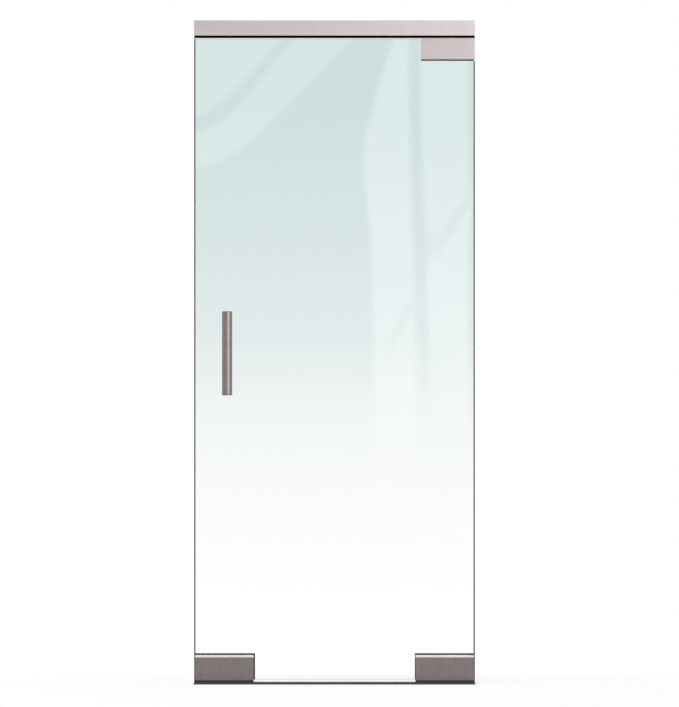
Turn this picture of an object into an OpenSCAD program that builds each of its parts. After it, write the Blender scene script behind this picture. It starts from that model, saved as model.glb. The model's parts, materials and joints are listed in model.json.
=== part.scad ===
// Frameless glass door: a toughened glass leaf held by corner patch fittings, hung between a
// header and a threshold, with a self-closing floor closer under the threshold.
// Millimetres, +Z up. The origin is the middle of the threshold's underside, at floor level.
// The front faces -Y, and the leaf swings both ways about a vertical axis near its +X edge.

/* [Opening] */
// Length of the header and of the threshold
frame_w = 914; // [860:1:1100]
// Height of the leaf's top above the floor
leaf_top = 2100; // [1900:1:2400]
// Gap between the leaf's edge and the end of the header, at each side
side_gap = 1; // [0.5:0.5:5]
// Gap between the leaf's top and the header's underside
top_gap = 7.5; // [5:0.5:12]
// Gap between the threshold's top and the patch fittings
foot_gap = 6; // [4:0.5:10]

/* [Glass] */
// Thickness of the glass
glass_t = 12; // [10:1:15]
// Width of the ground arris along the edges of the glass
glass_arris = 1.5; // [0.5:0.1:2.5]
// Height of the glass's lower edge above the foot of the patches
glass_lift = 2; // [1:0.5:6]

/* [Edge seals] */
// Thickness of the rubber strip along each upright edge of the leaf
edge_seal_t = 3; // [2:0.1:4]
// Width of that strip where it meets the leaf
edge_seal_w = 18; // [16:1:24]
// Chamfer along the outer corners of that strip
edge_seal_chamfer = 2; // [0.5:0.1:2]
// Thickness of the sweep strips under the bottom patches
sweep_t = 4; // [3:0.5:5]
// Thickness of a sweep strip at its lower edge
sweep_tip_t = 1.6; // [1:0.1:2.5]
// Distance from the face of a patch to its sweep strip
sweep_inset = 0.8; // [0.5:0.1:1.5]
// Gap between the seals' lower ends and the threshold
sweep_clear = 1; // [0.8:0.1:2]

/* [Header] */
// Height of the header
header_h = 49; // [46:1:80]
// Depth of the header, front to back
header_d = 62; // [60:1:90]
// Thickness of the steel cladding on the header's faces
cladding_t = 1.2; // [0.8:0.1:1.6]
// Width of the cladding's return under the header
cladding_lip = 5.6; // [4:0.1:6]
// Wall of the channel inside the header
channel_wall = 4; // [3:0.5:5]
// Width of the rail under each leg of the channel, which holds a brush seal
seal_rail_w = 14; // [13:0.5:15]
// Height of that rail
seal_rail_h = 9; // [8:0.5:14]
// Width of the ledge on each rail that carries the soffit strip
soffit_ledge = 2; // [1.5:0.1:3]
// Thickness of the soffit strip that closes the channel from below
soffit_t = 1.5; // [1:0.1:2.5]
// Width of the brush seal's pile
brush_w = 4; // [3:0.5:5]
// Width of the brush seal's backing strip
brush_back_w = 8; // [7:0.5:9]
// Thickness of the brush seal's backing strip
brush_back_t = 2.6; // [2:0.1:3]
// Gap between the tips of the pile and the top of the leaf
brush_clear = 1; // [0.5:0.1:3]
// Thickness of the header's end caps
end_cap_t = 2; // [1.8:0.1:4]
// Diameter of the holes that fix the header to the lintel
header_hole_d = 7; // [5:0.5:9]
// Distance between the two outer fixing holes of the header
header_hole_outer = 560; // [460:10:600]
// Distance between the two inner fixing holes of the header
header_hole_inner = 200; // [100:10:300]
// Width of the square screw port in each upper corner of the channel
port_d = 9; // [8:0.5:12]
// Diameter of the end cap screws
cap_screw_d = 4; // [3:0.5:4.5]
// Length of the end cap screws
cap_screw_l = 22; // [14:1:40]

/* [Top pivot] */
// Diameter of the pivot pin
pin_d = 15; // [12:0.5:16]
// Reach of the pivot pin below the top of the leaf
pin_reach = 26; // [20:1:28]
// Length of the pivot pin above the leaf's top
pin_above = 36; // [30:1:40]
// Length of the pivot housing on the closing side of the axis
housing_long = 60; // [50:1:80]
// Length of the pivot housing on the hinge side of the axis
housing_short = 40; // [34:1:45]
// Width of the pivot housing
housing_w = 24; // [20:1:26]
// Diameter of the housing's two fixing screws
housing_screw_d = 6; // [4:0.5:7]
// Distance of each housing screw from the end of the housing
housing_screw_edge = 12; // [9:1:16]
// Diameter of those screws' heads
housing_head_d = 10; // [9:0.5:12]
// Height of those screws' heads
housing_head_h = 6; // [4:0.5:8]
// Diameter of the screw that draws the pin up for hanging the leaf
retract_screw_d = 8; // [5:0.5:9]
// Distance of that screw from the pin's axis
retract_screw_offset = 26; // [20:1:32]
// Wall of the bush that turns on the pin
bush_wall = 2.5; // [1.5:0.5:3]

/* [Patch fittings] */
// Length of the two lower patches
patch_l = 190; // [180:1:240]
// Height of the two lower patches
patch_h = 83; // [70:1:110]
// Bevel along the upper edge of the lower patches
patch_bevel = 8; // [2:0.5:8]
// Height of gasket that shows above the lower patches
patch_lip = 5; // [0:0.5:8]
// Length of gasket that shows past the inner end of the lock patch
lock_end_lip = 4.5; // [0:0.5:6]
// Length of gasket that shows past the inner end of the bottom pivot patch
pivot_end_lip = 2; // [0:0.5:6]
// Length of the top patch
top_patch_l = 175; // [165:1:240]
// Height of the top patch
top_patch_h = 70; // [62:1:110]
// Bevel along the lower edge of the top patch
top_bevel = 3; // [1:0.5:8]
// Height of gasket that shows below the top patch
top_lip = 4; // [0:0.5:8]
// Projection of a patch from the face of the glass
patch_d = 11.5; // [10.5:0.5:16]
// Thickness of the snap-on covers
cover_t = 1.5; // [1:0.1:2]
// Thickness of the gasket between a clamp and the glass
gasket_t = 1; // [0.5:0.1:1.5]
// Distance of the pivot axis from the edge of the leaf
pivot_inset = 65; // [60:1:75]
// Length of the corner notch in the glass
notch_l = 150; // [145:1:160]
// Height of the corner notch, from the foot of the patch
notch_h = 46; // [46:1:52]
// Inner corner radius of the notch
notch_r = 10; // [6:1:14]
// Height of a block's underside above the foot of the patch
block_v = 3; // [2.5:0.1:4]
// Length of the pivot blocks
block_l = 90; // [70:1:100]
// Height of the pivot blocks
block_h = 29; // [28:1:30]
// Thickness of the pivot blocks
block_t = 26; // [24:0.5:27]
// Diameter of the clamp screws
clamp_screw_d = 6; // [4:0.5:6.5]
// Diameter of the clamp screws' heads
clamp_head_d = 10; // [9:0.5:11]
// Thickness of metal left under the tapped holes of the front clamps
tap_floor = 1.5; // [1:0.1:2]
// Thickness of metal under a clamp screw's head
clamp_seat = 4; // [3:0.5:5]
// Height of the clamp screws above a block
clamp_screw_rise = 7; // [6:0.5:8]
// Distance of the end clamp screws from the ends of the notch
clamp_screw_edge = 18; // [12:1:20]

/* [Pull handles] */
// Diameter of the pull tube
pull_d = 32; // [25:1:40]
// Wall of the pull tube
pull_wall = 2; // [1.2:0.1:3]
// Overall length of the pull
pull_l = 273; // [250:1:600]
// Height of the pull's middle above the floor
pull_height = 1075; // [900:1:1200]
// Distance of the pull's axis from the closing edge of the leaf
pull_inset = 104; // [70:1:140]
// Distance of the pull's axis from the face of the glass
pull_offset = 57; // [45:1:80]
// Distance between the two posts of a pull
post_spacing = 200; // [120:1:220]
// Diameter of the posts
post_d = 20; // [18:1:24]
// Thickness of the end caps of the pull
pull_cap_t = 3; // [2:0.5:6]
// Chamfer round the ends of the pull
pull_chamfer = 2; // [0.5:0.5:2.5]
// Diameter of the holes in the glass for the pull's studs
pull_hole_d = 14; // [12:0.5:16]
// Diameter of the studs that join the two pulls
stud_d = 8; // [6:0.5:9]
// Depth of each stud in its post
stud_grip = 16; // [10:1:20]
// Thickness of the washers under the posts
washer_t = 1.5; // [1:0.1:3]
// Diameter of the washers under the posts
washer_d = 24; // [20:1:28]

/* [Lock] */
// Diameter of the lock bolt
bolt_d = 14; // [13:0.5:15]
// Height of the drawn bolt's end above the foot of the patch
bolt_foot = 1; // [0.5:0.1:2]
// Length of bolt past the last tooth of the rack
rack_spare = 4; // [2:0.1:4.5]
// Distance of the bolt's axis from the closing edge of the leaf
lock_inset = 45; // [40:1:50]
// Height of the lock case
lock_case_h = 40; // [40:0.5:41]
// Wall of the lock case beside the bolt and the pinion
lock_wall = 6; // [4:0.5:6]
// Module of the rack and pinion teeth
gear_m = 1; // [0.9:0.1:1]
// Number of pinion teeth
gear_teeth = 24; // [22:1:24]
// Pressure angle of the teeth, in degrees
pressure = 20; // [18:0.5:25]
// Depth of a tooth below its pitch line, in modules
dedendum = 1.25; // [1.15:0.05:1.35]
// Thickness of the pinion
pinion_t = 8.6; // [6:0.1:9]
// Height of the pinion's axis above the foot of the patch
pinion_rise = 18; // [17.5:0.1:18]
// Depth of the rack's pitch line from the bolt's axis
rack_depth = 4; // [3.5:0.1:4.5]
// Diameter of the turn's spindle
turn_d = 8; // [6:0.5:9]
// Diameter of the pinion's stub in the front wall of the case
pivot_stub_d = 6; // [4:0.5:8]
// Length of that stub
pivot_stub_l = 5; // [3:0.5:7]
// Diameter of the rosette round the turn
rosette_d = 34; // [30:1:38]
// Thickness of the rosette
rosette_t = 2.3; // [1.5:0.1:4]
// Diameter of the base of the turn
turn_base_d = 24; // [20:1:28]
// Thickness of the base of the turn
turn_base_t = 4; // [2:0.5:6]
// Length of the turn's wing
wing_l = 30; // [24:1:40]
// Thickness of the turn's wing
wing_t = 6; // [4:0.5:8]
// Height of the turn's wing above its base
wing_h = 14; // [10:1:20]
// Depth of the keeper under the threshold
keeper_depth = 18; // [14:1:30]
// Clearance round the bolt in the keeper
keeper_clear = 0.75; // [0.5:0.05:1.5]
// Wall of the keeper
keeper_wall = 3; // [2:0.5:4]
// Width of the flange round the top of the keeper
keeper_flange = 5; // [3:0.5:8]

/* [Threshold] */
// Depth of the threshold, front to back
threshold_d = 140; // [132:1:180]
// Thickness of the threshold
threshold_t = 6; // [5:0.5:10]
// Width of the sloping edge along the front and the back
threshold_slope = 2; // [1:0.5:9]
// Height of the square foot under the sloping edge
threshold_edge = 4; // [1:0.5:4.5]
// Diameter of the holes that fix the threshold to the floor
floor_hole_d = 5.5; // [4:0.5:6.5]
// Distance between those holes along the threshold
floor_hole_x = 200; // [120:10:240]
// Distance between those holes from front to back
floor_hole_y = 100; // [80:1:104]
// Distance of the end pair of floor holes from the threshold's end
floor_hole_end = 20; // [14:1:24]

/* [Floor closer] */
// Diameter of the closer's spindle
spindle_d = 20; // [19:0.5:22]
// Width across flats of the spindle's square head
spindle_sq = 13; // [11:0.5:13.4]
// Length of the spindle's square head
spindle_head = 22; // [16:1:24]
// Length of the closer's body on the hinge side of the axis
closer_short = 40; // [36:1:42]
// Length of the closer's body on the closing side of the axis
closer_long = 205; // [180:1:215]
// Width of the closer's body
closer_w = 80; // [76:1:84]
// Corner radius of the closer's body
closer_r = 12; // [6:1:16]
// Length of the fixing flange at each end of the closer
flange_l = 15; // [14:0.5:16]
// Width of the fixing flange
flange_w = 50; // [46:1:52]
// Thickness of the fixing flange
flange_t = 8; // [5:0.5:12]
// Height of the pads under the flanges
closer_foot = 2; // [1:0.5:3]
// Thickness of metal under the closer's spindle
spindle_floor = 6; // [4:0.5:12]
// Thickness of the closer's lid
lid_t = 4; // [3:0.5:5]
// Depth of the closer's lid below the threshold's underside
lid_drop = 2; // [1:0.5:4]
// Depth of the cement box
box_depth = 60; // [54:1:80]
// Wall of the cement box
box_t = 2; // [1.5:0.1:3]
// Gap between the closer and the walls of the cement box
box_gap = 4; // [3.5:0.5:4.5]
// Size of the screw lugs in the corners of the cement box
lug = 14; // [12:0.5:14]
// Height of those lugs
lug_h = 10; // [8:1:16]
// Diameter of the studs that hold the closer down
closer_stud_d = 8; // [6:0.5:8]
// Distance between the two studs of a flange
closer_stud_y = 30; // [26:1:30]
// Width across the flats of the nuts on those studs
nut_af = 13; // [11:0.5:14]
// Height of those nuts
nut_h = 6.4; // [4:0.1:8]
// Length of stud above a nut
stud_end = 1.2; // [0.5:0.1:3]
// Diameter of the countersunk screws of the threshold and the lid
cover_screw_d = 5; // [4:0.5:5]
// Length of the countersunk screws of the threshold
cover_screw_l = 14; // [13:0.5:14]
// Length of the countersunk screws of the lid
lid_screw_l = 14; // [10:1:20]
// Distance of the lid's screws from the edge of the lid
lid_margin = 9; // [7:0.5:10]
// Diameter of the closing speed valves
valve_d = 10; // [6:0.5:12]
// Distance of the valves from the closing end of the body
valve_edge = 27; // [22:1:40]
// Distance between the two valves
valve_y = 40; // [20:1:50]
// Width of the screwdriver slots
screw_slot = 1.2; // [0.8:0.1:2]
// Depth of the closing speed valves in the closer's body
valve_depth = 12; // [8:1:20]

/* [Clearances] */
// Between pieces that are fixed to each other
fit = 0.2; // [0.1:0.05:0.3]
// Round what turns, slides or is screwed in
run = 0.05; // [0.02:0.01:0.08]
// Between faces that pass each other
seat = 0.3; // [0.2:0.05:0.4]
// Round a spindle, pin or bolt where it leaves a fitting
way_clear = 2; // [1:0.1:2.5]
// Between the teeth of the rack and the pinion
backlash = 0.15; // [0.1:0.01:0.25]

/* [Hidden] */
$fn = 96;

// How far a cut runs past the face that it opens
through = 1;

// The leaf and its pivot axis
leaf_edge = frame_w / 2 - side_gap;
leaf_x = leaf_edge - edge_seal_t;
pivot_x = leaf_x - pivot_inset;
top_inset = pivot_inset + edge_seal_t;
patch_foot = threshold_t + foot_gap;
glass_foot = patch_foot + glass_lift;
glass_face = glass_t / 2;

// The header's section, measured up from its underside
header_z = leaf_top + top_gap;
header_l = frame_w - 2 * end_cap_t;
channel_y = header_d / 2 - cladding_t - fit;
channel_z = cladding_t + fit;
web_z = header_h - channel_wall;
brush_y = channel_y - seal_rail_w / 2;
slot_z = channel_z + (seal_rail_h - brush_back_t) / 2;
soffit_z = channel_z + soffit_t;
housing_z = soffit_z + soffit_t + fit;
rail_inner = channel_y - seal_rail_w;
port_y = channel_y - channel_wall - port_d / 2;
port_z = web_z - port_d / 2;

// The layers of a patch, measured out from the middle of the glass
clamp_y = glass_face + gasket_t;
patch_y = glass_face + patch_d;
cover_y = clamp_y + fit;
clamp_inset = cover_t + fit;
clamp_face = patch_y - clamp_inset;
clamp_seat_y = clamp_y + clamp_seat;
clamp_head_h = clamp_face - clamp_seat_y - fit;
clamp_tap_y = clamp_face - tap_floor;

// Blocks and screws, measured from the leaf's edge and from the foot of the patch
clamp_screw_v = block_v + block_h + clamp_screw_rise;
end_screws = [clamp_screw_edge, notch_l - clamp_screw_edge];
pivot_screws = [end_screws[0], notch_l / 2, end_screws[1]];
bush_d = pin_d + 2 * run + 2 * bush_wall;
bush_l = pin_reach - block_v + fit;

// The lock's rack and pinion
pitch_r = gear_m * gear_teeth / 2;
tip_r = pitch_r + gear_m;
root_r = pitch_r - dedendum * gear_m;
pinion_s = lock_inset + rack_depth + pitch_r + run;
bolt_travel = pitch_r * PI / 2;
rack_pitch = PI * gear_m;
bolt_top = pinion_rise + bolt_travel + rack_spare;
rack_below = 2;
rack_above = ceil(bolt_travel / rack_pitch) + 2;
lock_s0 = lock_inset - bolt_d / 2 - lock_wall;
lock_s1 = pinion_s + tip_r + lock_wall;
bolt_x = -leaf_x + lock_inset;
turn_y = patch_y + rosette_t + seat;
turn_tip = turn_y + turn_base_t + wing_h / 2;
keeper_bore = bolt_d + 2 * keeper_clear;
keeper_d = keeper_bore + 2 * keeper_wall;

// The pulls
pull_x = -leaf_x + pull_inset;
tube_y = glass_face + pull_offset;
post_heights = [pull_height - post_spacing / 2, pull_height + post_spacing / 2];

// The floor closer, measured down from the floor
box_floor = -box_depth + box_t;
closer_base = box_floor + closer_foot;
lid_z = -lid_drop - lid_t;
flange_top = closer_base + flange_t;
box_x0 = pivot_x - closer_long - flange_l - box_gap;
box_x1 = pivot_x + closer_short + flange_l + box_gap;
box_y = closer_w / 2 + box_gap;
lug_x = [box_x0 + lug / 2, box_x1 - lug / 2];
lug_y = [-(box_y - lug / 2), box_y - lug / 2];
closer_stud_x = [pivot_x - closer_long - flange_l / 2, pivot_x + closer_short + flange_l / 2];
spindle_top = patch_foot + block_v;
spindle_foot = closer_base + spindle_floor;
lid_screw_x = [-closer_long + lid_margin, -closer_long / 2 + closer_short / 2, closer_short - lid_margin];
lid_screw_y = closer_w / 2 - lid_margin;

// General shapes

// A box between two corners
module block(x, y, z) {
    translate([x[0], y[0], z[0]]) cube([x[1] - x[0], y[1] - y[0], z[1] - z[0]]);
}

// A profile drawn in Y and Z, carried along X
module along_x(x0, x1) {
    translate([x0, 0, 0]) rotate([90, 0, 90]) linear_extrude(x1 - x0) children();
}

// An outline drawn in X and Z, carried along Y
module along_y(y0, y1) {
    translate([0, y1, 0]) rotate([90, 0, 0]) linear_extrude(y1 - y0) children();
}

// An upright round bar
module rod(d, z0, z1) {
    translate([0, 0, z0]) cylinder(d = d, h = z1 - z0);
}

// A round bar along Y
module rod_y(d, y0, y1) {
    translate([0, y1, 0]) rotate([90, 0, 0]) cylinder(d = d, h = y1 - y0);
}

// A rectangle with round corners, centred
module rounded(l, w, r) {
    square([l - 2 * r, w], center = true);
    square([l, w - 2 * r], center = true);
    for (x = [-1, 1], y = [-1, 1])
        translate([x * (l / 2 - r), y * (w / 2 - r)]) circle(r);
}

// A rectangle in the first quarter with its far corner rounded
module round_corner(l, h, r) {
    square([l - r, h]);
    square([l, h - r]);
    translate([l - r, h - r]) circle(r);
}

// The outline of a countersunk screw hanging from z = 0, with a clearance all round
module countersunk(d, l, clear) {
    rod(d + 2 * clear, -l - clear, -d / 2 + through / 4);
    translate([0, 0, -d / 2]) cylinder(d1 = d + 2 * clear, d2 = 2 * d + 2 * clear, h = d / 2);
}

// The screw itself, with a hexagon socket in its head
module countersunk_screw(d, l) {
    difference() {
        countersunk(d, l, 0);
        translate([0, 0, -d / 3]) cylinder(d = 3 * d / 4, h = d, $fn = 6);
    }
}

// The matching hole, from z = 0 down to a depth
module countersunk_hole(d, l) {
    countersunk(d, l, fit / 2);
    rod(2 * d + fit, 0, through);
}

// A socket head screw with its seat at z = 0 and its shank below
module socket_screw(d, l, head_d, head_h) {
    rod(d, -l, through / 4);
    difference() {
        rod(head_d, 0, head_h);
        translate([0, 0, head_h / 2]) cylinder(d = d, h = head_h, $fn = 6);
    }
}

// Places: a corner's own frame has X inwards from the leaf's edge and Z inwards from its end

module at_bottom_hinge() {
    translate([leaf_x, 0, patch_foot]) mirror([1, 0, 0]) children();
}

module at_top_hinge() {
    translate([leaf_edge, 0, leaf_top]) mirror([1, 0, 0]) mirror([0, 0, 1]) children();
}

module at_lock() {
    translate([-leaf_x, 0, patch_foot]) children();
}

module at_front() {
    mirror([0, 1, 0]) children();
}

module at_header() {
    translate([0, 0, header_z]) children();
}

module at_closer() {
    translate([pivot_x, 0, 0]) children();
}

// Header

module header_channel() {
    color("silver") at_header() difference() {
        along_x(-header_l / 2, header_l / 2) channel_section();
        for (s = [-1, 1], d = [header_hole_outer, header_hole_inner])
            translate([s * d / 2, 0, 0]) rod(header_hole_d, web_z - through, header_h + through);
        for (x = housing_screw_x())
            translate([x, 0, 0]) rod(housing_screw_d + 2 * run, web_z - through, header_h - fit);
    }
}

// An inverted U with a seal rail under each leg and a screw port in each upper corner
module channel_section() {
    translate([-channel_y, web_z]) square([2 * channel_y, channel_wall]);
    for (s = [0, 1]) mirror([s, 0]) {
        difference() {
            union() {
                translate([channel_y - channel_wall, channel_z]) square([channel_wall, header_h - channel_z]);
                translate([rail_inner, channel_z]) square([seal_rail_w, seal_rail_h]);
            }
            brush_slot();
        }
        translate([rail_inner - soffit_ledge, channel_z]) square([soffit_ledge + through, soffit_t]);
        difference() {
            translate([port_y - port_d / 2, port_z - port_d / 2]) square(port_d);
            translate([port_y, port_z]) circle(d = cap_screw_d + 2 * run);
        }
    }
}

// The undercut slot for the backing of a brush seal
module brush_slot() {
    slot_w = brush_w + 2 * fit;
    back_w = brush_back_w + 2 * fit;
    translate([brush_y - slot_w / 2, 0]) square([slot_w, slot_z + through]);
    translate([brush_y - back_w / 2, slot_z]) square([back_w, brush_back_t + fit]);
}

// A folded sheet: the face, and a return under the channel
module cladding_section() {
    translate([header_d / 2 - cladding_t, 0]) square([cladding_t, header_h]);
    translate([header_d / 2 - cladding_lip, 0]) square([cladding_lip, cladding_t]);
}

module header_rear_cladding() {
    color("#cdc3c2") at_header() along_x(-header_l / 2, header_l / 2) cladding_section();
}

module header_front_cladding() {
    at_front() header_rear_cladding();
}

module header_soffit() {
    color("silver") at_header() difference() {
        block([-header_l / 2, header_l / 2], [fit - rail_inner, rail_inner - fit],
            [soffit_z, soffit_z + soffit_t]);
        translate([pivot_x, 0, 0]) rod(pin_d + 2 * way_clear, 0, header_h);
        translate([pivot_x - retract_screw_offset, 0, 0]) rod(retract_screw_d + 2 * way_clear, 0, header_h);
    }
}

module header_right_cap() {
    color("#cdc3c2") at_header() difference() {
        block([header_l / 2, frame_w / 2], [-header_d / 2, header_d / 2], [0, header_h]);
        cap_screw_places() countersunk_hole(cap_screw_d, cap_screw_l);
    }
}

module header_left_cap() {
    mirror([1, 0, 0]) header_right_cap();
}

// The two screw places of the right end cap, each with its axis out of the header
module cap_screw_places() {
    for (s = [-1, 1])
        translate([frame_w / 2, s * port_y, port_z]) rotate([0, 90, 0]) children();
}

module header_cap_screws() {
    color("gray") at_header() for (m = [0, 1]) mirror([m, 0, 0])
        cap_screw_places() countersunk_screw(cap_screw_d - 2 * run, cap_screw_l);
}

module rear_brush_seal() {
    color("#141414") at_header() along_x(-header_l / 2, header_l / 2) {
        translate([brush_y - brush_w / 2, brush_clear - top_gap])
            square([brush_w, top_gap - brush_clear + slot_z + brush_back_t / 2]);
        translate([brush_y - brush_back_w / 2, slot_z]) square([brush_back_w, brush_back_t]);
    }
}

module front_brush_seal() {
    at_front() rear_brush_seal();
}

// Top pivot

function housing_screw_x() =
    [pivot_x - housing_long + housing_screw_edge, pivot_x + housing_short - housing_screw_edge];

housing_seat = housing_z + housing_head_h + fit;
pin_top = pin_above - top_gap;

module top_pivot_housing() {
    color("dimgray") at_header() difference() {
        block([pivot_x - housing_long, pivot_x + housing_short], [-housing_w / 2, housing_w / 2],
            [housing_z, web_z]);
        translate([pivot_x, 0, 0]) rod(pin_d + 2 * run, 0, pin_top + fit);
        translate([pivot_x - retract_screw_offset, 0, 0]) rod(retract_screw_d + 2 * run, 0, pin_top + fit);
        for (x = housing_screw_x()) translate([x, 0, 0]) {
            rod(housing_head_d + 2 * fit, 0, housing_seat);
            rod(housing_screw_d + 2 * fit, 0, header_h);
        }
    }
}

module top_pivot_pin() {
    lead = 2;
    color("lightgray") at_header() translate([pivot_x, 0, 0]) {
        rod(pin_d, lead - top_gap - pin_reach, pin_top);
        translate([0, 0, -top_gap - pin_reach]) cylinder(d1 = pin_d - 2 * lead, d2 = pin_d, h = lead);
    }
}

module top_pivot_retract_screw() {
    color("gray") at_header() translate([pivot_x - retract_screw_offset, 0, 0]) difference() {
        rod(retract_screw_d, housing_z, pin_top);
        block([-retract_screw_d, retract_screw_d], [-screw_slot / 2, screw_slot / 2],
            [0, housing_z + 2 * screw_slot]);
    }
}

module top_pivot_screws() {
    color("gray") at_header() for (x = housing_screw_x())
        translate([x, 0, housing_seat]) mirror([0, 0, 1])
            socket_screw(housing_screw_d, header_h - housing_seat - 2 * fit, housing_head_d, housing_head_h);
}

// Threshold

module threshold() {
    half = threshold_d / 2;
    color("#7c7271") difference() {
        along_x(-frame_w / 2, frame_w / 2) polygon([
            [-half, 0], [half, 0], [half, threshold_edge], [half - threshold_slope, threshold_t],
            [threshold_slope - half, threshold_t], [-half, threshold_edge]]);
        at_closer() rod(spindle_d + 2 * way_clear, -through, threshold_t + through);
        translate([bolt_x, 0, 0]) rod(keeper_d + 2 * fit, -through, threshold_t + through);
        for (x = lug_x, y = lug_y)
            translate([x, y, threshold_t]) countersunk_hole(cover_screw_d, cover_screw_l);
        for (x = [-1, 1], y = [-1, 1])
            translate([x * floor_hole_x / 2, y * floor_hole_y / 2, threshold_t])
                countersunk_hole(floor_hole_d - fit, threshold_t + through);
        for (y = [-1, 1])
            translate([floor_hole_end - frame_w / 2, y * floor_hole_y / 2, threshold_t])
                countersunk_hole(floor_hole_d - fit, threshold_t + through);
    }
}

module threshold_screws() {
    color("gray") for (x = lug_x, y = lug_y)
        translate([x, y, threshold_t]) countersunk_screw(cover_screw_d, cover_screw_l);
}

module bolt_keeper() {
    color("dimgray") translate([bolt_x, 0, 0]) difference() {
        union() {
            rod(keeper_d, -keeper_depth, threshold_t);
            rod(keeper_d + 2 * keeper_flange, -keeper_wall, 0);
        }
        rod(keeper_bore, keeper_wall - keeper_depth, threshold_t + through);
    }
}

// Floor closer

module closer_box() {
    color("slategray") {
        difference() {
            block([box_x0 - box_t, box_x1 + box_t], [-box_y - box_t, box_y + box_t], [-box_depth, 0]);
            block([box_x0, box_x1], [-box_y, box_y], [box_floor, through]);
        }
        for (x = lug_x, y = lug_y) translate([x, y, 0]) difference() {
            block([-lug / 2, lug / 2], [-lug / 2, lug / 2], [-lug_h, 0]);
            rod(cover_screw_d + fit, -lug_h - through, through);
        }
        for (x = closer_stud_x, y = [-1, 1])
            translate([x, y * closer_stud_y / 2, 0])
                rod(closer_stud_d, box_floor - box_t / 2, flange_top + nut_h + stud_end);
    }
}

module closer_body() {
    mid = (closer_short - closer_long) / 2;
    color("#4a4d50") at_closer() difference() {
        union() {
            translate([mid, 0, closer_base]) linear_extrude(lid_z - closer_base)
                rounded(closer_short + closer_long, closer_w, closer_r);
            block([-closer_long - flange_l, closer_short + flange_l], [-flange_w / 2, flange_w / 2],
                [closer_base, flange_top]);
            for (x = [-closer_long - flange_l, closer_short])
                block([x, x + flange_l], [-flange_w / 2, flange_w / 2], [box_floor, closer_base]);
        }
        rod(spindle_d + 2 * run, spindle_foot - seat, 0);
        for (x = closer_stud_x, y = [-1, 1])
            translate([x - pivot_x, y * closer_stud_y / 2, 0])
                rod(closer_stud_d + 2 * fit, -box_depth, flange_top + through);
        lid_screw_places() rod(cover_screw_d + fit, -lid_screw_l - through, through);
        valve_places() rod(valve_d + 2 * run, lid_z - valve_depth - fit, 0);
    }
}

module lid_screw_places() {
    for (x = lid_screw_x, y = [-1, 1])
        translate([x, y * lid_screw_y, lid_z + lid_t]) children();
}

module valve_places() {
    for (y = [-1, 1]) translate([valve_edge - closer_long, y * valve_y / 2, 0]) children();
}

module closer_lid() {
    mid = (closer_short - closer_long) / 2;
    color("#5c6064") at_closer() difference() {
        translate([mid, 0, lid_z]) linear_extrude(lid_t)
            rounded(closer_short + closer_long, closer_w, closer_r);
        rod(spindle_d + 2 * run, -box_depth, 0);
        lid_screw_places() countersunk_hole(cover_screw_d, lid_screw_l);
        valve_places() rod(valve_d + 2 * fit, -box_depth, 0);
    }
}

module closer_lid_screws() {
    color("gray") at_closer() lid_screw_places() countersunk_screw(cover_screw_d, lid_screw_l);
}

module closer_nuts() {
    color("gray") for (x = closer_stud_x, y = [-1, 1])
        translate([x, y * closer_stud_y / 2, flange_top]) difference() {
            cylinder(d = nut_af / cos(30), h = nut_h, $fn = 6);
            rod(closer_stud_d + 2 * run, -through, nut_h + through);
        }
}

module closer_valves() {
    top = lid_z + lid_t - fit;
    color("#b5a642") at_closer() valve_places() difference() {
        rod(valve_d, lid_z - valve_depth, top);
        block([-valve_d, valve_d], [-screw_slot / 2, screw_slot / 2], [top - 2 * screw_slot, 0]);
    }
}

module closer_spindle() {
    color("lightgray") at_closer() {
        rod(spindle_d, spindle_foot, spindle_top);
        block([-spindle_sq / 2, spindle_sq / 2], [-spindle_sq / 2, spindle_sq / 2],
            [spindle_top - through, spindle_top + spindle_head]);
    }
}

// Glass

module glass_panel() {
    half = leaf_x;
    color("#cfe0e0", 0.5) difference() {
        intersection() {
            translate([0, 0, glass_foot]) linear_extrude(leaf_top - glass_lift - glass_foot)
                arrised(2 * half, glass_t);
            translate([0, 0, (glass_foot + leaf_top - glass_lift) / 2]) rotate([90, 0, 90])
                translate([0, 0, -half]) linear_extrude(2 * half)
                    rotate(90) arrised(leaf_top - glass_lift - glass_foot, glass_t);
        }
        at_bottom_hinge() notch();
        at_top_hinge() notch();
        at_lock() notch();
        for (z = post_heights) translate([pull_x, 0, z]) rod_y(pull_hole_d, -glass_t, glass_t);
    }
}

// A strip of glass seen on its edge: a rectangle with its corners ground off
module arrised(l, t) {
    a = glass_arris;
    polygon([[a - l / 2, -t / 2], [l / 2 - a, -t / 2], [l / 2, a - t / 2], [l / 2, t / 2 - a],
        [l / 2 - a, t / 2], [a - l / 2, t / 2], [-l / 2, t / 2 - a], [-l / 2, a - t / 2]]);
}

module notch() {
    over = 10;
    along_y(-glass_t, glass_t) translate([-over, -over])
        round_corner(notch_l + over, notch_h + over, notch_r);
}

// Edge seals, full height at the closing edge and up to the top patch at the pivot edge,
// and a pair of sweep strips under each bottom patch

module edge_seals() {
    color("#151515") {
        mirror([1, 0, 0]) edge_seal(leaf_top - glass_lift);
        edge_seal(leaf_top - top_patch_h - top_lip - fit);
        at_bottom_hinge() sweeps();
        at_lock() sweeps();
    }
}

// Two tapered strips that hang from the feet of the covers, in a corner's own frame
module sweeps() {
    drop = foot_gap - sweep_clear;
    mid = patch_y - sweep_inset - sweep_t / 2;
    for (m = [0, 1]) mirror([0, m, 0]) along_x(0, patch_l) polygon([
        [mid - sweep_t / 2, 0], [mid - sweep_tip_t / 2, -drop],
        [mid + sweep_tip_t / 2, -drop], [mid + sweep_t / 2, 0]]);
}

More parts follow.
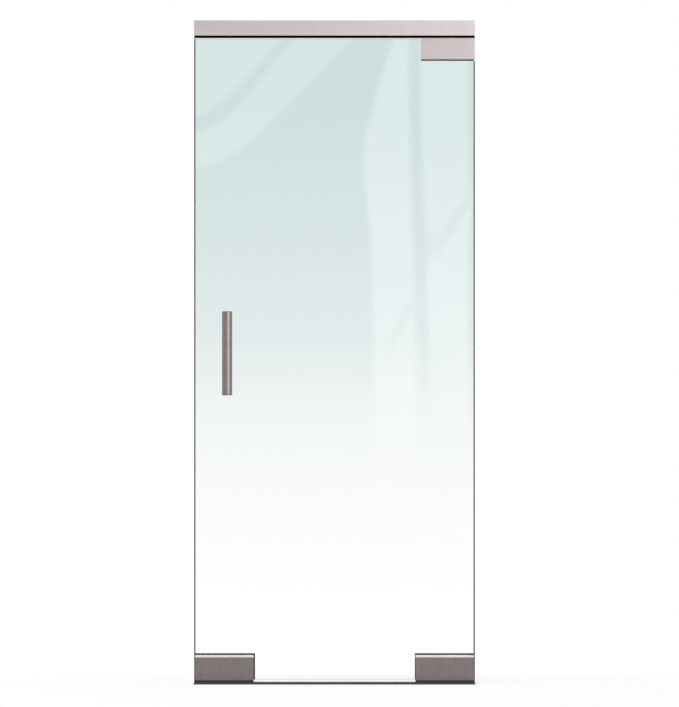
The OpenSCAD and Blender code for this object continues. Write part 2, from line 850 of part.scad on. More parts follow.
module edge_seal(top) {
    half = edge_seal_w / 2;
    foot = threshold_t + sweep_clear;
    translate([0, 0, foot]) linear_extrude(top - foot) polygon([
        [leaf_x, -half], [leaf_edge - edge_seal_chamfer, -half], [leaf_edge, edge_seal_chamfer - half],
        [leaf_edge, half - edge_seal_chamfer], [leaf_edge - edge_seal_chamfer, half], [leaf_x, half]]);
}

// Patch fittings, drawn for the rear face in a corner's own frame

// Half the section of a patch in Y and Z, from a back plane to the face, drawn in by an inset
module patch_section(back, h, bevel, inset) {
    cut = bevel + inset * (sqrt(2) - 1);
    polygon([[back, inset], [patch_y - inset, inset], [patch_y - inset, h - cut],
        [patch_y - cut, h - inset], [back, h - inset]]);
}

module cover(l, h, bevel) {
    difference() {
        along_x(0, l) patch_section(cover_y, h, bevel, 0);
        along_x(cover_t, l - cover_t) patch_section(cover_y - through, h, bevel, cover_t);
    }
}

module clamp(l, h, bevel) {
    along_x(clamp_inset, l - clamp_inset) patch_section(clamp_y, h, bevel, clamp_inset);
}

// The holes of the clamp screws: plain and counterbored at the rear, tapped at the front
module rear_screw_holes(places) {
    for (s = places) translate([s, 0, clamp_screw_v]) {
        rod_y(clamp_screw_d + 2 * fit, 0, patch_y);
        rod_y(clamp_head_d + 2 * fit, clamp_seat_y, patch_y);
    }
}

module front_screw_holes(places) {
    for (s = places) translate([s, 0, clamp_screw_v]) rod_y(clamp_screw_d + 2 * run, 0, clamp_tap_y);
}

module clamp_screws(places) {
    for (s = places) translate([s, clamp_seat_y, clamp_screw_v]) rotate([-90, 0, 0])
        socket_screw(clamp_screw_d, clamp_seat_y + clamp_tap_y - fit, clamp_head_d, clamp_head_h);
}

// The pocket for a pivot block or a lock case, and the way out for its spindle, pin or bolt
module block_pocket(s0, s1, h) {
    block([s0 - fit, s1 + fit], [0, block_t / 2 + fit], [block_v - fit, block_v + h + fit]);
}

module pivot_pocket(inset) {
    block_pocket(inset - block_l / 2, inset + block_l / 2, block_h);
}

module way_out(s, d) {
    translate([s, 0, 0]) rod(d + 2 * way_clear, -through, block_v + through);
}

// Front and rear gaskets on the flat of the glass round a notch
module gaskets(l, h, lip, glass_edge, end_lip) {
    s0 = glass_edge + glass_arris;
    v0 = glass_lift + glass_arris;
    for (m = [0, 1]) mirror([0, m, 0]) along_y(glass_face, clamp_y) polygon([
        [s0, notch_h], [notch_l, notch_h], [notch_l, v0],
        [l + end_lip, v0], [l + end_lip, h + lip], [s0, h + lip]]);
}

// Pivot block with the spindle's socket or the bush's bore left to the caller
module pivot_block(inset) {
    block([inset - block_l / 2, inset + block_l / 2], [-block_t / 2, block_t / 2], [block_v, block_v + block_h]);
}

// Bottom pivot patch

module bottom_clamp() {
    difference() {
        clamp(patch_l, patch_h, patch_bevel);
        pivot_pocket(pivot_inset);
        way_out(pivot_inset, spindle_d);
    }
}

module bottom_rear_clamp() {
    color("silver") at_bottom_hinge() difference() {
        bottom_clamp();
        rear_screw_holes(pivot_screws);
    }
}

module bottom_front_clamp() {
    color("silver") at_bottom_hinge() at_front() difference() {
        bottom_clamp();
        front_screw_holes(pivot_screws);
    }
}

module bottom_rear_cover() {
    color("#807675") at_bottom_hinge() difference() {
        cover(patch_l, patch_h, patch_bevel);
        way_out(pivot_inset, spindle_d);
    }
}

module bottom_front_cover() {
    at_front() bottom_rear_cover();
}

module bottom_block() {
    color("gray") at_bottom_hinge() difference() {
        pivot_block(pivot_inset);
        block([pivot_inset - spindle_sq / 2 - run, pivot_inset + spindle_sq / 2 + run],
            [-spindle_sq / 2 - run, spindle_sq / 2 + run], [0, block_v + spindle_head + fit]);
    }
}

module bottom_gaskets() {
    color("#1c1c1c") at_bottom_hinge() gaskets(patch_l, patch_h, patch_lip, 0, pivot_end_lip);
}

module bottom_clamp_screws() {
    color("gray") at_bottom_hinge() clamp_screws(pivot_screws);
}

// Top pivot patch

module top_clamp() {
    difference() {
        clamp(top_patch_l, top_patch_h, top_bevel);
        pivot_pocket(top_inset);
        way_out(top_inset, pin_d);
    }
}

module top_rear_clamp() {
    color("silver") at_top_hinge() difference() {
        top_clamp();
        rear_screw_holes(pivot_screws);
    }
}

module top_front_clamp() {
    color("silver") at_top_hinge() at_front() difference() {
        top_clamp();
        front_screw_holes(pivot_screws);
    }
}

module top_rear_cover() {
    color("#cec4c4") at_top_hinge() difference() {
        cover(top_patch_l, top_patch_h, top_bevel);
        way_out(top_inset, pin_d);
    }
}

module top_front_cover() {
    at_front() top_rear_cover();
}

module top_block() {
    color("gray") at_top_hinge() difference() {
        pivot_block(top_inset);
        translate([top_inset, 0, 0]) rod(bush_d + 2 * run, 0, block_v + bush_l + fit);
    }
}

module top_bush() {
    color("#d8d2c0") at_top_hinge() translate([top_inset, 0, 0]) difference() {
        rod(bush_d, block_v, block_v + bush_l);
        rod(pin_d + 2 * run, 0, block_v + block_h);
    }
}

module top_gaskets() {
    color("#1c1c1c") at_top_hinge() gaskets(top_patch_l, top_patch_h, top_lip, edge_seal_t, 0);
}

module top_clamp_screws() {
    color("gray") at_top_hinge() clamp_screws(pivot_screws);
}

// Lock patch

module lock_clamp() {
    difference() {
        clamp(patch_l, patch_h, patch_bevel);
        block_pocket(lock_s0, lock_s1, lock_case_h);
        way_out(lock_inset, bolt_d);
    }
}

module at_pinion() {
    translate([pinion_s, 0, pinion_rise]) children();
}

module lock_rear_clamp() {
    color("silver") at_lock() difference() {
        lock_clamp();
        rear_screw_holes(end_screws);
        at_pinion() rod_y(turn_d + 2 * fit, 0, patch_y);
    }
}

module lock_front_clamp() {
    color("silver") at_lock() at_front() difference() {
        lock_clamp();
        front_screw_holes(end_screws);
    }
}

module lock_blank_cover() {
    difference() {
        cover(patch_l, patch_h, patch_bevel);
        way_out(lock_inset, bolt_d);
    }
}

module lock_rear_cover() {
    color("#807675") at_lock() difference() {
        lock_blank_cover();
        at_pinion() rod_y(turn_d + 2 * fit, 0, patch_y + through);
    }
}

module lock_front_cover() {
    color("#807675") at_lock() at_front() lock_blank_cover();
}

module lock_gaskets() {
    color("#1c1c1c") at_lock() gaskets(patch_l, patch_h, patch_lip, 0, lock_end_lip);
}

module lock_clamp_screws() {
    color("gray") at_lock() clamp_screws(end_screws);
}

module lock_rosette() {
    color("#807675") at_lock() at_pinion() difference() {
        rod_y(rosette_d, patch_y, patch_y + rosette_t);
        rod_y(turn_d + 2 * fit, patch_y - through, turn_y);
    }
}

// The lock case, in a front and a rear half that meet at the middle of the glass
module lock_case() {
    half_t = block_t / 2 - run;
    color("gray") at_lock() for (y = [-block_t / 2, run]) difference() {
        block([lock_s0, lock_s1], [y, y + half_t], [block_v, block_v + lock_case_h]);
        translate([lock_inset, 0, 0]) rod(bolt_d + 2 * run, 0, patch_h);
        at_pinion() {
            rod_y(2 * tip_r + 2 * seat, -pinion_t / 2 - seat, pinion_t / 2 + seat);
            rod_y(turn_d + 2 * run, 0, block_t);
            rod_y(pivot_stub_d + 2 * run, -pinion_t / 2 - pivot_stub_l - seat, 0);
        }
    }
}

// The bolt, with a rack cut across the flat that faces the pinion
module lock_bolt() {
    lead = 1.5;
    color("lightgray") at_lock() translate([lock_inset, 0, 0]) difference() {
        union() {
            rod(bolt_d, bolt_foot + lead, bolt_top);
            translate([0, 0, bolt_foot]) cylinder(d1 = bolt_d - 2 * lead, d2 = bolt_d, h = lead);
        }
        block([rack_depth + gear_m, bolt_d], [-bolt_d, bolt_d], [pinion_rise - tip_r, bolt_top + through]);
        for (i = [-rack_below:rack_above])
            translate([rack_depth, 0, pinion_rise + i * rack_pitch]) along_y(-bolt_d, bolt_d) rack_space();
    }
}

// One space of the rack, open towards the pinion, with its pitch line at x = 0
module rack_space() {
    half = rack_pitch / 4 + backlash / 2;
    tip = half + gear_m * tan(pressure) + through * tan(pressure);
    root = half - dedendum * gear_m * tan(pressure);
    polygon([[-dedendum * gear_m, -root], [gear_m + through, -tip],
        [gear_m + through, tip], [-dedendum * gear_m, root]]);
}

// The pinion on its spindle, with a tooth in the rack's middle space
module lock_pinion() {
    color("lightgray") at_lock() at_pinion() {
        along_y(-pinion_t / 2, pinion_t / 2) rotate(180) pinion_outline();
        rod_y(turn_d, 0, turn_tip);
        rod_y(pivot_stub_d, -pinion_t / 2 - pivot_stub_l, 0);
    }
}

base_r = pitch_r * cos(pressure);
half_tooth = (rack_pitch / 2 - backlash) / 2 / pitch_r * 180 / PI;

// The angle through which an involute has turned away at a radius, in degrees
function involute(r) = let (a = acos(min(1, base_r / r))) tan(a) * 180 / PI - a;
function flank(r) = half_tooth + involute(pitch_r) - involute(max(r, base_r));
function polar(r, a) = [r * cos(a), r * sin(a)];
flank_radii = [root_r, base_r, (base_r + pitch_r) / 2, pitch_r, (pitch_r + tip_r) / 2, tip_r];

module pinion_outline() {
    last = len(flank_radii) - 1;
    step = 360 / gear_teeth;
    polygon([for (i = [0:gear_teeth - 1]) each concat(
        [for (k = [0:last]) polar(flank_radii[k], i * step - flank(flank_radii[k]))],
        [for (k = [last:-1:0]) polar(flank_radii[k], i * step + flank(flank_radii[k]))])]);
}

module thumb_turn() {
    color("#807675") at_lock() at_pinion() difference() {
        union() {
            rod_y(turn_base_d, turn_y, turn_y + turn_base_t);
            along_y(turn_y, turn_y + turn_base_t + wing_h) {
                square([wing_t, wing_l - wing_t], center = true);
                for (s = [-1, 1]) translate([0, s * (wing_l - wing_t) / 2]) circle(d = wing_t);
            }
        }
        rod_y(turn_d + 2 * run, 0, turn_tip + fit);
    }
}

// Pull handles, drawn for the rear face

module pull_tube() {
    translate([pull_x, tube_y, pull_height]) difference() {
        rod(pull_d, pull_cap_t - pull_l / 2, pull_l / 2 - pull_cap_t);
        rod(pull_d - 2 * pull_wall, -pull_l, pull_l);
    }
}

// A flat cap with a chamfered rim and a spigot in the tube
module pull_caps() {
    spigot = 8;
    translate([pull_x, tube_y, pull_height]) for (m = [0, 1]) mirror([0, 0, m]) {
        rod(pull_d, pull_l / 2 - pull_cap_t, pull_l / 2 - pull_chamfer);
        translate([0, 0, pull_l / 2 - pull_chamfer])
            cylinder(d1 = pull_d, d2 = pull_d - 2 * pull_chamfer, h = pull_chamfer);
        rod(pull_d - 2 * pull_wall - fit, pull_l / 2 - pull_cap_t - spigot, pull_l / 2 - pull_chamfer);
    }
}

// Posts with a saddle for the tube and a tapped hole for the stud
module pull_posts() {
    foot = glass_face + washer_t;
    for (z = post_heights) difference() {
        translate([pull_x, 0, z]) rod_y(post_d, foot, tube_y);
        translate([pull_x, tube_y, z]) rod(pull_d + 2 * run, -post_d, post_d);
        translate([pull_x, 0, z]) rod_y(stud_d + 2 * run, 0, foot + stud_grip + fit);
    }
}

module rear_pull_tube() {
    color("#8c8280") pull_tube();
}

module front_pull_tube() {
    at_front() rear_pull_tube();
}

module rear_pull_caps() {
    color("#8c8280") pull_caps();
}

module front_pull_caps() {
    at_front() rear_pull_caps();
}

module rear_pull_posts() {
    color("#8c8280") pull_posts();
}

module front_pull_posts() {
    at_front() rear_pull_posts();
}

module pull_washers() {
    color("#2a2a2a") for (z = post_heights, m = [0, 1])
        mirror([0, m, 0]) translate([pull_x, 0, z]) difference() {
            rod_y(washer_d, glass_face, glass_face + washer_t);
            rod_y(stud_d + 2 * fit, 0, glass_t);
        }
}

module pull_bushes() {
    color("#e4e2da") for (z = post_heights) translate([pull_x, 0, z]) difference() {
        rod_y(pull_hole_d - fit, -glass_face, glass_face);
        rod_y(stud_d + 2 * fit, -glass_t, glass_t);
    }
}

module pull_studs() {
    reach = glass_face + washer_t + stud_grip;
    color("gray") for (z = post_heights) translate([pull_x, 0, z]) rod_y(stud_d, -reach, reach);
}

header_channel();
header_front_cladding();
header_rear_cladding();
header_soffit();
header_left_cap();
header_right_cap();
header_cap_screws();
front_brush_seal();
rear_brush_seal();
top_pivot_housing();
top_pivot_pin();
top_pivot_retract_screw();
top_pivot_screws();
threshold();
threshold_screws();
closer_box();
closer_body();
closer_lid();
closer_lid_screws();
closer_nuts();
closer_valves();
bolt_keeper();
glass_panel();
closer_spindle();
bottom_block();
bottom_front_clamp();
bottom_rear_clamp();
bottom_gaskets();
bottom_front_cover();
bottom_rear_cover();
bottom_clamp_screws();
top_block();
top_bush();
top_front_clamp();
top_rear_clamp();
top_gaskets();
top_front_cover();
top_rear_cover();
top_clamp_screws();
lock_case();
lock_front_clamp();
lock_rear_clamp();
lock_gaskets();
lock_front_cover();
lock_rear_cover();
lock_clamp_screws();
lock_rosette();
front_pull_tube();
front_pull_caps();
front_pull_posts();
rear_pull_tube();
rear_pull_caps();
rear_pull_posts();
pull_washers();
pull_bushes();
pull_studs();
edge_seals();
lock_bolt();
lock_pinion();
thumb_turn();
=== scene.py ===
import json
import math
import random
import bpy
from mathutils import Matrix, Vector

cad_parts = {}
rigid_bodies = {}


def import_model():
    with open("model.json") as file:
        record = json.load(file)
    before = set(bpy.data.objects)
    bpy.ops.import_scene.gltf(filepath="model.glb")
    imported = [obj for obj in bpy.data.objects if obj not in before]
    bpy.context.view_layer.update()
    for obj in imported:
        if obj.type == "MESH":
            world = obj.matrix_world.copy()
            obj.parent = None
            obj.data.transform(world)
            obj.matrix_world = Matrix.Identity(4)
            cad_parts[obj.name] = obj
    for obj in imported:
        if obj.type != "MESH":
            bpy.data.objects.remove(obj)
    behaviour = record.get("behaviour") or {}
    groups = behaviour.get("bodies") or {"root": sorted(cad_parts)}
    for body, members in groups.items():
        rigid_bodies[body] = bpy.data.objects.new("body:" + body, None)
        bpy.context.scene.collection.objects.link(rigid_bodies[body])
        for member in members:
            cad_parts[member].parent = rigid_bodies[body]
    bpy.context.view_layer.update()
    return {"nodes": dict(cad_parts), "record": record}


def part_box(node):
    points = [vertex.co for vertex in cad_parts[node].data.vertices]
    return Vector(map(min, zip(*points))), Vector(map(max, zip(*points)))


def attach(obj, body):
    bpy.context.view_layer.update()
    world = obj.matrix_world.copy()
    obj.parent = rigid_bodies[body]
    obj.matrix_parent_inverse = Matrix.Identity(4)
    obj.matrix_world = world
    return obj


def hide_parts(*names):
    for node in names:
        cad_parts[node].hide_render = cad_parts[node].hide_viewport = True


for leftover in list(bpy.data.objects):  # nothing but the door is in the scene
    bpy.data.objects.remove(leftover)
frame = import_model()
nodes = frame["nodes"]
scene = bpy.context.scene
scene.view_settings.view_transform = "Standard"
white = (1.0, 1.0, 1.0)
mixSockets = {"amount": 0, "first": 6, "second": 7, "result": 2}  # the colour sockets of a mix node
print("door loaded:", len(nodes), "nodes")


# small helpers for shader trees
def addNode(tree, kind, values=None, **settings):
    made = tree.nodes.new(kind)
    for key, value in settings.items():
        setattr(made, key, value)
    for key, value in (values or {}).items():
        made.inputs[key].default_value = value
    return made


def feed(tree, socket, value):  # a socket is linked, a number or colour is set
    if isinstance(value, bpy.types.NodeSocket):
        tree.links.new(value, socket)
    elif isinstance(value, tuple) and len(value) == 3 and socket.type == "RGBA":
        socket.default_value = (*value, 1.0)
    else:
        socket.default_value = value


def blendColours(tree, amount, first, second):
    made = addNode(tree, "ShaderNodeMix", data_type="RGBA")
    for label, value in (("amount", amount), ("first", first), ("second", second)):
        feed(tree, made.inputs[mixSockets[label]], value)
    return made.outputs[mixSockets["result"]]


def blendShaders(tree, amount, first, second):
    made = addNode(tree, "ShaderNodeMixShader")
    for socket, value in zip(made.inputs, (amount, first, second)):
        tree.links.new(value, socket)
    return made.outputs["Shader"]


def mapTo(tree, value, low, high, toLow=0.0, toHigh=1.0):
    limits = {"From Min": low, "From Max": high, "To Min": toLow, "To Max": toHigh}
    made = addNode(tree, "ShaderNodeMapRange", limits, interpolation_type="SMOOTHSTEP")
    feed(tree, made.inputs["Value"], value)
    return made.outputs["Result"]


def combine(tree, operation, first, second):
    made = addNode(tree, "ShaderNodeMath", operation=operation)
    feed(tree, made.inputs[0], first)
    feed(tree, made.inputs[1], second)
    return made.outputs[0]


def times(tree, value, factor):
    return combine(tree, "MULTIPLY", value, factor)


def bumped(tree, height, strength, depth):
    made = addNode(tree, "ShaderNodeBump", {"Strength": strength, "Distance": depth})
    feed(tree, made.inputs["Height"], height)
    return made.outputs["Normal"]


def colourRamp(tree, where, stops):
    made = addNode(tree, "ShaderNodeValToRGB")
    made.color_ramp.interpolation = "LINEAR"
    ready = len(made.color_ramp.elements)  # a new ramp comes with two stops
    for step, (spot, colour) in enumerate(stops):
        stop = made.color_ramp.elements[step] if step < ready else made.color_ramp.elements.new(spot)
        stop.position = spot
        stop.color = (*colour, 1.0)
    tree.links.new(where, made.inputs["Fac"])
    return made.outputs["Color"]


def newGroup(name, takes, gives):
    group = bpy.data.node_groups.new(name, "ShaderNodeTree")
    for label, kind, default in takes:
        socket = group.interface.new_socket(label, in_out="INPUT", socket_type="NodeSocket" + kind)
        socket.default_value = default
    for label in gives:
        group.interface.new_socket(label, in_out="OUTPUT", socket_type="NodeSocketFloat")
    return group, group.nodes.new("NodeGroupInput"), group.nodes.new("NodeGroupOutput")


def place(tree, group, **values):
    made = addNode(tree, "ShaderNodeGroup", node_tree=group)
    for label, value in values.items():
        made.inputs[label].default_value = value
    return made.outputs


def stretchedNoise(tree, stretch, scale, detail, roughness):
    where = addNode(tree, "ShaderNodeTexCoord")
    pulled = addNode(tree, "ShaderNodeVectorMath", operation="MULTIPLY")
    tree.links.new(where.outputs["Object"], pulled.inputs[0])
    feed(tree, pulled.inputs[1], stretch)
    noise = addNode(tree, "ShaderNodeTexNoise", {"Scale": scale, "Detail": detail, "Roughness": roughness})
    tree.links.new(pulled.outputs[0], noise.inputs["Vector"])
    return noise.outputs["Fac"]


def layeredNoise(tree, stretch, look):  # a broad and a fine noise in one, and the fine one alone
    broad = stretchedNoise(tree, stretch, **look["broad"])
    fine = stretchedNoise(tree, stretch, **look["fine"])
    mixed = combine(tree, "ADD", times(tree, broad, look["broadShare"]),
                    times(tree, fine, 1 - look["broadShare"]))
    return mapTo(tree, mixed, *look["range"]), fine


# brushed lines, long one way and fine the other
grainLook = {"stretch": (6.0, 300.0, 300.0), "broadShare": 0.6, "range": (0.32, 0.68),
             "broad": {"scale": 1.0, "detail": 4.0, "roughness": 0.6},
             "fine": {"scale": 3.7, "detail": 3.0, "roughness": 0.7}}


def makeBrushedGrain(look):
    takes = [("Stretch", "Vector", look["stretch"])]
    group, taken, given = newGroup("brushedGrain", takes, ["Tone", "Height"])
    tone, fine = layeredNoise(group, taken.outputs["Stretch"], look)
    group.links.new(tone, given.inputs["Tone"])
    group.links.new(fine, given.inputs["Height"])
    return group


# bright rubbed edges, broken up by a fine noise
wearLook = {"radius": 0.001, "breakup": 120.0, "samples": 4, "bend": (0.995, 0.86), "detail": 4.0,
            "roughness": 0.65, "range": (0.35, 0.62), "least": 0.25}


def makeEdgeWear(look):
    takes = [("Radius", "Float", look["radius"]), ("Breakup", "Float", look["breakup"])]
    group, taken, given = newGroup("edgeWear", takes, ["Mask"])
    rounded = addNode(group, "ShaderNodeBevel", samples=look["samples"])
    group.links.new(taken.outputs["Radius"], rounded.inputs["Radius"])
    flat = addNode(group, "ShaderNodeNewGeometry")
    turn = addNode(group, "ShaderNodeVectorMath", operation="DOT_PRODUCT")
    group.links.new(rounded.outputs["Normal"], turn.inputs[0])
    group.links.new(flat.outputs["Normal"], turn.inputs[1])
    bent = mapTo(group, turn.outputs["Value"], *look["bend"])
    where = addNode(group, "ShaderNodeTexCoord")
    spots = addNode(group, "ShaderNodeTexNoise", {"Detail": look["detail"], "Roughness": look["roughness"]})
    group.links.new(where.outputs["Object"], spots.inputs["Vector"])
    group.links.new(taken.outputs["Breakup"], spots.inputs["Scale"])
    broken = mapTo(group, spots.outputs["Fac"], *look["range"], look["least"], 1.0)
    group.links.new(times(group, bent, broken), given.inputs["Mask"])
    return group


# the soft clouds that wiping and hands leave
smudgeLook = {"stretch": (9.0, 9.0, 9.0), "broadShare": 0.7, "range": (0.36, 0.66),
              "broad": {"scale": 1.0, "detail": 3.0, "roughness": 0.55},
              "fine": {"scale": 4.3, "detail": 5.0, "roughness": 0.6}}


def makeHandSmudge(look):
    takes = [("Stretch", "Vector", look["stretch"])]
    group, taken, given = newGroup("handSmudge", takes, ["Mask"])
    clouds, _ = layeredNoise(group, taken.outputs["Stretch"], look)
    group.links.new(clouds, given.inputs["Mask"])
    return group


# the small pits and grains of cast, moulded and coated surfaces
speckleLook = {"scale": 900.0, "detail": 5.0, "roughness": 0.62, "range": (0.3, 0.7)}


def makeFineSpeckle(look):
    takes = [("Scale", "Float", look["scale"])]
    group, taken, given = newGroup("fineSpeckle", takes, ["Tone", "Height"])
    where = addNode(group, "ShaderNodeTexCoord")
    grains = addNode(group, "ShaderNodeTexNoise", {"Detail": look["detail"], "Roughness": look["roughness"]})
    pits = addNode(group, "ShaderNodeTexVoronoi", feature="F1")
    for texture in (grains, pits):
        group.links.new(where.outputs["Object"], texture.inputs["Vector"])
        group.links.new(taken.outputs["Scale"], texture.inputs["Scale"])
    group.links.new(mapTo(group, grains.outputs["Fac"], *look["range"]), given.inputs["Tone"])
    height = combine(group, "ADD", grains.outputs["Fac"], pits.outputs["Distance"])
    group.links.new(height, given.inputs["Height"])
    return group


brushedGrain = makeBrushedGrain(grainLook)
edgeWear = makeEdgeWear(wearLook)
handSmudge = makeHandSmudge(smudgeLook)
fineSpeckle = makeFineSpeckle(speckleLook)
print("shared shader groups made")


def emptyFinish(name):
    finish = bpy.data.materials.new(name)
    finish.use_nodes = True
    finish.node_tree.nodes.clear()
    out = addNode(finish.node_tree, "ShaderNodeOutputMaterial")
    return finish, finish.node_tree, out.inputs["Surface"]


def newFinish(name, **plain):
    finish, tree, out = emptyFinish(name)
    surface = addNode(tree, "ShaderNodeBsdfPrincipled")
    for label, value in plain.items():
        feed(tree, surface.inputs[label.replace("_", " ")], value)
    tree.links.new(surface.outputs["BSDF"], out)
    return finish, tree, surface


def scaled(colour, factor):
    return tuple(min(part * factor, 1.0) for part in colour)


# brushed metal: header, patch covers, pulls, channel, machined parts
metalShade = {"smudged": 0.5, "rubbed": 1.45, "duller": 0.05, "glossier": 0.04, "haze": 0.07,
              "bumpDepth": 0.0004}


def brushedMetal(name, look):
    finish, tree, surface = newFinish(name, Metallic=1.0)
    grain = place(tree, brushedGrain, Stretch=look["grain"])
    smudge = place(tree, handSmudge, Stretch=look["smudge"])
    wear = place(tree, edgeWear, Radius=look["wearWidth"])
    lined = blendColours(tree, grain["Tone"], scaled(look["colour"], 1 - look["lineDepth"]),
                         scaled(look["colour"], 1 + look["lineDepth"]))
    clouded = blendColours(tree, times(tree, smudge["Mask"], look["smudgeDepth"]), lined,
                           scaled(look["colour"], metalShade["smudged"]))
    rubbed = blendColours(tree, times(tree, wear["Mask"], look["wearDepth"]), clouded,
                          scaled(look["colour"], metalShade["rubbed"]))
    tree.links.new(rubbed, surface.inputs["Base Color"])
    gloss = mapTo(tree, grain["Tone"], 0.0, 1.0, look["roughness"] + metalShade["duller"],
                  look["roughness"] - metalShade["glossier"])
    hazed = combine(tree, "ADD", gloss, times(tree, smudge["Mask"], metalShade["haze"]))
    tree.links.new(hazed, surface.inputs["Roughness"])
    lines = bumped(tree, grain["Height"], look["bump"], metalShade["bumpDepth"])
    tree.links.new(lines, surface.inputs["Normal"])
    return finish


headerSteel = {"colour": (0.762, 0.697, 0.693), "grain": (900.0, 900.0, 26.0), "lineDepth": 0.05,
               "smudge": (40.0, 8.0, 9.0), "smudgeDepth": 0.07, "wearWidth": 0.0012, "wearDepth": 0.4,
               "roughness": 0.33, "bump": 0.1}
# the header steel made darker for the top patch: painted shade
topPatchShadedSteel = {"colour": (0.652, 0.597, 0.595), "grain": (900.0, 900.0, 26.0), "lineDepth": 0.05,
                 "smudge": (44.0, 20.0, 10.0), "smudgeDepth": 0.08, "wearWidth": 0.0012, "wearDepth": 0.4,
                 "roughness": 0.33, "bump": 0.1}
patchSteel = {"colour": (0.236, 0.199, 0.196), "grain": (700.0, 700.0, 30.0), "lineDepth": 0.07,
              "smudge": (85.0, 30.0, 22.0), "smudgeDepth": 0.16, "wearWidth": 0.0012, "wearDepth": 0.5,
              "roughness": 0.31, "bump": 0.1}
# near-white steel for the upper bevels of the lower patches: a painted highlight
paintedBevelHighlight = {"colour": (0.985, 0.955, 0.93), "grain": (8.0, 700.0, 700.0), "lineDepth": 0.03,
             "smudge": (30.0, 30.0, 30.0), "smudgeDepth": 0.04, "wearWidth": 0.0008, "wearDepth": 0.2,
             "roughness": 0.2, "bump": 0.05}
pullSteel = {"colour": (0.25, 0.215, 0.205), "grain": (340.0, 340.0, 9.0), "lineDepth": 0.07,
             "smudge": (12.0, 12.0, 16.0), "smudgeDepth": 0.1, "wearWidth": 0.0012, "wearDepth": 0.5,
             "roughness": 0.36, "bump": 0.06}
extrudedAluminium = {"colour": (0.6, 0.6, 0.61), "grain": (3.0, 420.0, 420.0), "lineDepth": 0.08,
                     "smudge": (8.0, 30.0, 30.0), "smudgeDepth": 0.1, "wearWidth": 0.0008, "wearDepth": 0.4,
                     "roughness": 0.4, "bump": 0.16}
turnedSteel = {"colour": (0.42, 0.42, 0.43), "grain": (130.0, 130.0, 900.0), "lineDepth": 0.09,
               "smudge": (60.0, 60.0, 60.0), "smudgeDepth": 0.16, "wearWidth": 0.0006, "wearDepth": 0.45,
               "roughness": 0.34, "bump": 0.14}
turnedBrass = {"colour": (0.6, 0.44, 0.16), "grain": (200.0, 200.0, 1200.0), "lineDepth": 0.1,
               "smudge": (90.0, 90.0, 90.0), "smudgeDepth": 0.2, "wearWidth": 0.0005, "wearDepth": 0.4,
               "roughness": 0.3, "bump": 0.12}
finishes = {
    "steel_light": brushedMetal("headerSteel", headerSteel),
    "topPatch": brushedMetal("topPatchShadedSteel", topPatchShadedSteel),
    "paintedBevelHighlight": brushedMetal("paintedBevelHighlight", paintedBevelHighlight),
    "steel_dark": brushedMetal("patchSteel", patchSteel),
    "pull": brushedMetal("pullSteel", pullSteel),
    "aluminium": brushedMetal("extrudedAluminium", extrudedAluminium),
    "machined_steel": brushedMetal("turnedSteel", turnedSteel),
    "brass": brushedMetal("turnedBrass", turnedBrass),
}

# coated and moulded parts: threshold, seals, closer, bushes
coatShade = {"dark": 0.82, "pale": 1.18, "glossSpread": 0.06, "haze": 0.1}


def coatedSurface(name, look):
    finish, tree, surface = newFinish(name, Metallic=look["metal"], Specular_IOR_Level=look["specular"])
    speckle = place(tree, fineSpeckle, Scale=look["speckle"])
    smudge = place(tree, handSmudge, Stretch=look["smudge"])
    wear = place(tree, edgeWear, Radius=look["wearWidth"], Breakup=look["wearBreakup"])
    grained = blendColours(tree, speckle["Tone"], scaled(look["colour"], coatShade["dark"]),
                           scaled(look["colour"], coatShade["pale"]))
    dusty = blendColours(tree, times(tree, smudge["Mask"], look["dustDepth"]), grained, look["dust"])
    worn = blendColours(tree, times(tree, wear["Mask"], look["wearDepth"]), dusty, look["bare"])
    tree.links.new(worn, surface.inputs["Base Color"])
    rough = mapTo(tree, speckle["Tone"], 0.0, 1.0, look["roughness"] + coatShade["glossSpread"],
                  look["roughness"] - coatShade["glossSpread"])
    hazed = combine(tree, "ADD", rough, times(tree, smudge["Mask"], coatShade["haze"]))
    tree.links.new(hazed, surface.inputs["Roughness"])
    tree.links.new(bumped(tree, speckle["Height"], look["bump"], look["depth"]), surface.inputs["Normal"])
    return finish


blackSill = {"colour": (0.042, 0.041, 0.041), "metal": 0.2, "specular": 0.3, "speckle": 1400.0,
             "smudge": (7.0, 26.0, 26.0), "dustDepth": 0.08, "dust": (0.16, 0.155, 0.15),
             "wearWidth": 0.0012, "wearBreakup": 90.0, "wearDepth": 0.5, "bare": (0.42, 0.42, 0.43),
             "roughness": 0.46, "bump": 0.12, "depth": 0.0003}
sealRubber = {"colour": (0.006, 0.006, 0.0064), "metal": 0.0, "specular": 0.12, "speckle": 1700.0,
              "smudge": (40.0, 40.0, 12.0), "dustDepth": 0.05, "dust": (0.06, 0.06, 0.058),
              "wearWidth": 0.0006, "wearBreakup": 160.0, "wearDepth": 0.22, "bare": (0.07, 0.07, 0.07),
              "roughness": 0.62, "bump": 0.16, "depth": 0.0003}
# a paler copy of the seal rubber for the sweeps: painted light that lightens the dark line at the foot
sweepRubberPaintedLight = {**sealRubber, "colour": (0.06, 0.055, 0.053)}
castClosing = {"colour": (0.07, 0.075, 0.08), "metal": 0.25, "specular": 0.45, "speckle": 620.0,
               "smudge": (24.0, 24.0, 24.0), "dustDepth": 0.25, "dust": (0.16, 0.13, 0.1),
               "wearWidth": 0.0014, "wearBreakup": 110.0, "wearDepth": 0.5, "bare": (0.3, 0.3, 0.31),
               "roughness": 0.58, "bump": 0.45, "depth": 0.0006}
whiteNylon = {"colour": (0.72, 0.71, 0.67), "metal": 0.0, "specular": 0.4, "speckle": 800.0,
              "smudge": (70.0, 70.0, 70.0), "dustDepth": 0.14, "dust": (0.5, 0.47, 0.42),
              "wearWidth": 0.0006, "wearBreakup": 200.0, "wearDepth": 0.2, "bare": (0.85, 0.84, 0.82),
              "roughness": 0.5, "bump": 0.1, "depth": 0.0003}
